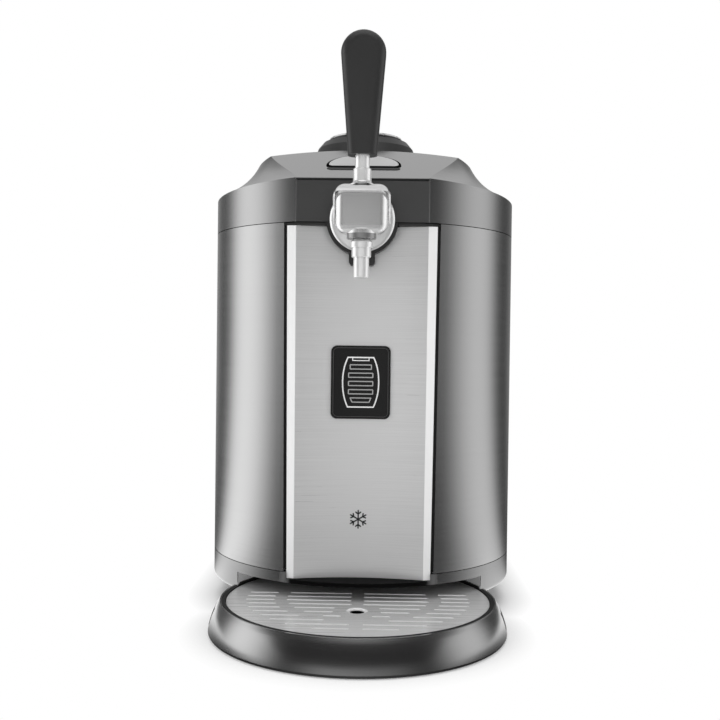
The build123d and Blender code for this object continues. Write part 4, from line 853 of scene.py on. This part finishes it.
def cross_head(x, crown_y, z, radius, tall, sunk):
    """A pan-head screw with a cross recess, its crown at the place given, pointing back."""
    bpy.ops.object.select_all(action='DESELECT')
    bpy.ops.mesh.primitive_cylinder_add(vertices=40, radius=radius, depth=tall,
                                        location=(x, crown_y - tall / 2, z), rotation=(pi / 2, 0, 0))
    head = bpy.context.object
    settle(head)
    select_where(head, lambda place, along: place.y > crown_y - hair, 'EDGE')
    bpy.ops.mesh.bevel(affect='EDGES', offset=radius * 0.28, segments=4)
    out_of_edit()
    long, deep, thin = radius * 1.25, sunk + 0.0002, radius * 0.28
    blades = []
    for size in ((long, deep, thin), (thin, deep, long)):
        bpy.ops.object.select_all(action='DESELECT')
        bpy.ops.mesh.primitive_cube_add(size=1, location=(x, crown_y - sunk / 2 + 0.0001, z))
        blade = bpy.context.object
        blade.scale = size
        settle(blade)
        select_where(blade, lambda place, normal: normal.y < -0.9)
        bpy.ops.transform.resize(value=(0.72, 1, 0.72), center_override=(x, crown_y - sunk, z))
        out_of_edit()
        blades.append(blade)
    for blade in blades:
        combine(head, blade, 'DIFFERENCE')
    smooth(head, 35)
    return head


def rear_screws():
    """The rear cover's six screws, two on each cabinet leaf of the hinges and one on each lid leaf."""
    heads = [cross_head(side * cover_screw_x, cover_crown_y, z, 0.0038, 0.0076, 0.0011)
             for side in (-1, 1) for z in cover_screw_heights]
    screws = join_pieces("cover_screws.finished", heads)
    coat(screws, plated_steel)
    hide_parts("cover_screws")
    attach(screws, "cabinet")
    leaf_places = {
        "cabinet": [(side * hinge_x + off, cabinet_leaf_z) for side in (-1, 1)
                    for off in (-leaf_screw_off, leaf_screw_off)],
        "lid": [(side * hinge_x, lid_leaf_z) for side in (-1, 1)],
    }
    for body, places in leaf_places.items():
        heads = [cross_head(x, leaf_crown_y[body], z, 0.0027, 0.0012, 0.0007) for x, z in places]
        screws = join_pieces("hinge_screws_" + body, heads)
        coat(screws, plated_steel)
        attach(screws, body)


# ------------------------------------------------------------------ dark strips of the lid, standing in for the shade in its gaps
gap_shade_strip_middle, gap_shade_strip_size = (0, -0.10895, 0.36822), (0.1068, 0.0011, 0.00084)
facet_y, facet_z = -0.1098, 0.370     # the foot of the lid's sloping facet
shade_from_facet = 0.0310              # level distance from there to the button's straight edge
shade_drop, shade_lift = 0.0083, 0.00005
shade_size, shade_round = (0.0618, 0.0056, 0.0004), 0.0045


def gap_shade_strip():
    """A thin black strip in the gap between the front plate and the lip over it: a dark sheet standing in
    for the gap's shade.
    """
    bpy.ops.object.select_all(action='DESELECT')
    bpy.ops.mesh.primitive_cube_add(size=1, location=gap_shade_strip_middle)
    strip = bpy.context.object
    strip.name = "gap_shade_strip"
    strip.scale = gap_shade_strip_size
    settle(strip)
    select_where(strip, lambda place, along: abs(along.x) > 0.05 and place.y < gap_shade_strip_middle[1], 'EDGE')
    bpy.ops.mesh.bevel(affect='EDGES', offset=0.0002, segments=2)
    out_of_edit()
    # Painted shade: the black strip stands in for the gap's shade.
    coat(strip, print_black)
    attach(strip, "lid")


def button_gap_shade():
    """A black strip laid along the straight edge of the lid button's opening: a dark sheet standing in for
    the shade of the gap there.
    """
    foot = Vector((0, facet_y + shade_from_facet,
                   facet_z + shade_from_facet * sin(lid_slope) / cos(lid_slope)))
    up = Vector((0, cos(lid_slope), sin(lid_slope)))
    out = Vector((0, -sin(lid_slope), cos(lid_slope)))
    bpy.ops.object.select_all(action='DESELECT')
    middle = foot - up * shade_drop + out * shade_lift
    bpy.ops.mesh.primitive_cube_add(size=1, location=middle, rotation=(lid_slope, 0, 0))
    shade_piece = bpy.context.object
    shade_piece.name = "button_gap_shade"
    shade_piece.scale = shade_size
    settle(shade_piece)
    select_where(shade_piece, lambda place, along: abs(along.dot(out)) > 0.0003 and (place - middle).dot(up) < 0,
                 'EDGE')
    bpy.ops.mesh.bevel(affect='EDGES', offset=shade_round, segments=8)
    out_of_edit()
    select_where(shade_piece, lambda place, normal: normal.dot(out) > 0.9)
    bpy.ops.mesh.inset(thickness=0.0002)
    bpy.ops.transform.translate(value=out * 0.0001)
    out_of_edit()
    smooth(shade_piece, 30)
    # Painted shade: the black strip stands in for the gap's shade.
    coat(shade_piece, print_black)
    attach(shade_piece, "lid")


# ------------------------------------------------------------------ the tap
tap_y, tap_z, spout_y = -0.1414, 0.3358, -0.1429
drum_half = 0.0204
drum_ahead, drum_behind, drum_under, drum_over = 0.0132, 0.0130, 0.0150, 0.0149
foot_roll, side_roll = 0.0070, 0.0067
crown_r, crown_roll, crown_ahead, crown_over = 0.0199, 0.0060, 0.0062, 0.004
boss_steps = [(0.0112, 0.3165), (0.0116, 0.3169), (0.0116, 0.3232)]
neck_steps = [(0.0266, 0.0280), (0.0266, 0.0264), (0.0262, 0.0256), (0.0238, 0.0240), (0.0180, 0.0231),
              (0.0160, 0.0226), (0.0142, 0.0212), (0.0135, 0.0190), (0.0135, 0.0060)]
hood_r, hood_half, hood_roll = 0.0240, 0.0224, 0.0095
hollow_r, hollow_half, hollow_roll = 0.0209, 0.0209, 0.0069
hood_reach, shoulder_z, arm_share = 0.01169, 0.01733, 0.02
arm_eye_r, pin_bore_r, hood_edge = 0.0075, 0.00262, 0.0007
tap_width, hood_height = 0.03, 0.030  # well past the hood on each side, and past its top
flare_r, flare_foot, flare_sink, stem_r = 0.0034, 0.3598, 0.0006, 0.0072
stem_base = (0.0106, 0.3575)
stem_steps = [(stem_r, 0.3710), (0.0067, 0.3715), (0.0058, 0.3716), (0.0058, 0.3895)]


def along_x(radius, half, vertices=128):
    """A round bar across the tap's axis."""
    bpy.ops.object.select_all(action='DESELECT')
    bpy.ops.mesh.primitive_cylinder_add(vertices=vertices, radius=radius, depth=2 * half,
                                        location=(0, tap_y, tap_z), rotation=(0, pi / 2, 0))
    bar = bpy.context.object
    settle(bar)
    return bar


def box_at(low, high):
    """A block between two corners."""
    bpy.ops.object.select_all(action='DESELECT')
    bpy.ops.mesh.primitive_cube_add(size=1, location=[(a + b) / 2 for a, b in zip(low, high)])
    block = bpy.context.object
    block.scale = [b - a for a, b in zip(low, high)]
    settle(block)
    return block


def combine(piece, other, operation):
    """The other piece is joined to, cut from or kept in common with the piece."""
    finish_modifier(piece, 'BOOLEAN', object=other, operation=operation, solver='EXACT')
    bpy.data.objects.remove(other, do_unlink=True)


def round_edges(piece, test, offset, rings, profile=0.5):
    select_where(piece, test, 'EDGE')
    bpy.ops.mesh.bevel(affect='EDGES', offset=offset, segments=rings, profile=profile, clamp_overlap=False)
    out_of_edit()


def rounded_bar(radius, half, rim, rings):
    """A round bar with deeply rounded rims."""
    bar = along_x(radius, half)
    round_edges(bar, lambda place, along: abs(abs(place.x) - half) < hair, rim, rings)
    return bar


def turned_up(name, x, y, steps):
    """A turned post: each step is a radius and a height."""
    bpy.ops.object.select_all(action='DESELECT')
    radius, height = steps[0]
    bpy.ops.mesh.primitive_circle_add(vertices=96, radius=radius, fill_type='NGON', location=(x, y, height))
    post = bpy.context.object
    post.name = name
    settle(post)
    for wide, tall in steps[1:]:
        select_where(post, lambda place, normal: abs(place.z - height) < hair / 10)
        bpy.ops.mesh.extrude_region_move(TRANSFORM_OT_translate={"value": (0, 0, tall - height)})
        if wide != radius:
            share = wide / radius
            bpy.ops.transform.resize(value=(share, share, 1), center_override=(x, y, tall))
        out_of_edit()
        radius, height = wide, tall
    select_where(post, everywhere)
    bpy.ops.mesh.normals_make_consistent(inside=False)
    out_of_edit()
    return post


def tip_forward(piece):
    """A post turned upright is laid along Y about the tap's axis."""
    select_where(piece, everywhere)
    bpy.ops.transform.rotate(value=-pi / 2, orient_axis='X', center_override=(0, tap_y, tap_z))
    out_of_edit()


def tap_drum():
    """The tap's pillow-shaped body with its neck, flange and spout boss."""
    drum = box_at((-drum_half, tap_y - drum_ahead, tap_z - drum_under),
                  (drum_half, tap_y + drum_behind, tap_z + drum_over))
    round_edges(drum, lambda place, along: abs(along.x) > 0.03 and place.z < tap_z, foot_roll, 8, 0.45)
    round_edges(drum, lambda place, along: abs(abs(place.x) - drum_half) < hair, side_roll, 8, 0.42)
    crown = rounded_bar(crown_r, drum_half - 0.0001, crown_roll, 8)
    for place, way in (((0, tap_y - crown_ahead, 0), (0, -1, 0)), ((0, 0, tap_z + crown_over), (0, 0, -1))):
        select_where(crown, everywhere)
        bpy.ops.mesh.bisect(plane_co=place, plane_no=way, use_fill=True, clear_outer=True)
        out_of_edit()
    combine(drum, crown, 'UNION')
    combine(drum, turned_up("boss", 0, spout_y, boss_steps), 'UNION')
    neck = turned_up("neck", 0, tap_y, [(radius, tap_z - under) for radius, under in neck_steps])
    tip_forward(neck)
    combine(drum, neck, 'UNION')
    drum.name = "tap_body.finished"
    smooth(drum, 35)
    coat(drum, drum_chrome)
    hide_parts("tap_body")
    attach(drum, body_of["tap_body"])


def hood_wedge():
    """What is kept of the hood: its top, narrowing downwards to the two arms and their round eyes."""
    wedge = box_at((-tap_width, tap_y - hood_reach, tap_z + shoulder_z),
                   (tap_width, tap_y + hood_reach, tap_z + hood_height))
    select_where(wedge, lambda place, normal: normal.z < -0.9)
    bpy.ops.mesh.extrude_region_move(TRANSFORM_OT_translate={"value": (0, 0, -shoulder_z)})
    bpy.ops.transform.resize(value=(1, arm_share, 1), center_override=(0, tap_y, tap_z))
    out_of_edit()
    combine(wedge, along_x(arm_eye_r, tap_width, 64), 'UNION')
    return wedge


def stem_outline():
    """The lever's stem, as radii and heights: a hollow flare at its foot, then the two posts."""
    flare = [(stem_r + flare_r * (1 - cos(radians(a))), flare_foot + flare_r * (1 - sin(radians(a))))
             for a in (90, 72, 54, 36, 18, 0)]
    flare = sorted({(round(r, 6), round(h - flare_sink, 6)) for r, h in flare}, key=lambda step: step[1])
    return [stem_base] + flare + stem_steps


def tap_hood():
    """The lever's hood over the drum: soft shoulders, two arms with round eyes, and its stem."""
    hood = rounded_bar(hood_r, hood_half, hood_roll, 12)
    combine(hood, rounded_bar(hollow_r, hollow_half, hollow_roll, 8), 'DIFFERENCE')
    combine(hood, hood_wedge(), 'INTERSECT')
    combine(hood, along_x(pin_bore_r, tap_width, 48), 'DIFFERENCE')
    finish_modifier(hood, 'BEVEL', width=hood_edge, segments=3, limit_method='ANGLE',
                    angle_limit=radians(50), use_clamp_overlap=True)
    combine(hood, turned_up("stem", 0, tap_y, stem_outline()), 'UNION')
    hood.name = "lever_yoke.finished"
    smooth(hood, 35)
    coat(hood, hood_chrome)
    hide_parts("lever_yoke")
    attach(hood, body_of["lever_yoke"])


gauge_print()
snowflake_print()
rear_screws()
gap_shade_strip()
button_gap_shade()
tap_drum()
tap_hood()
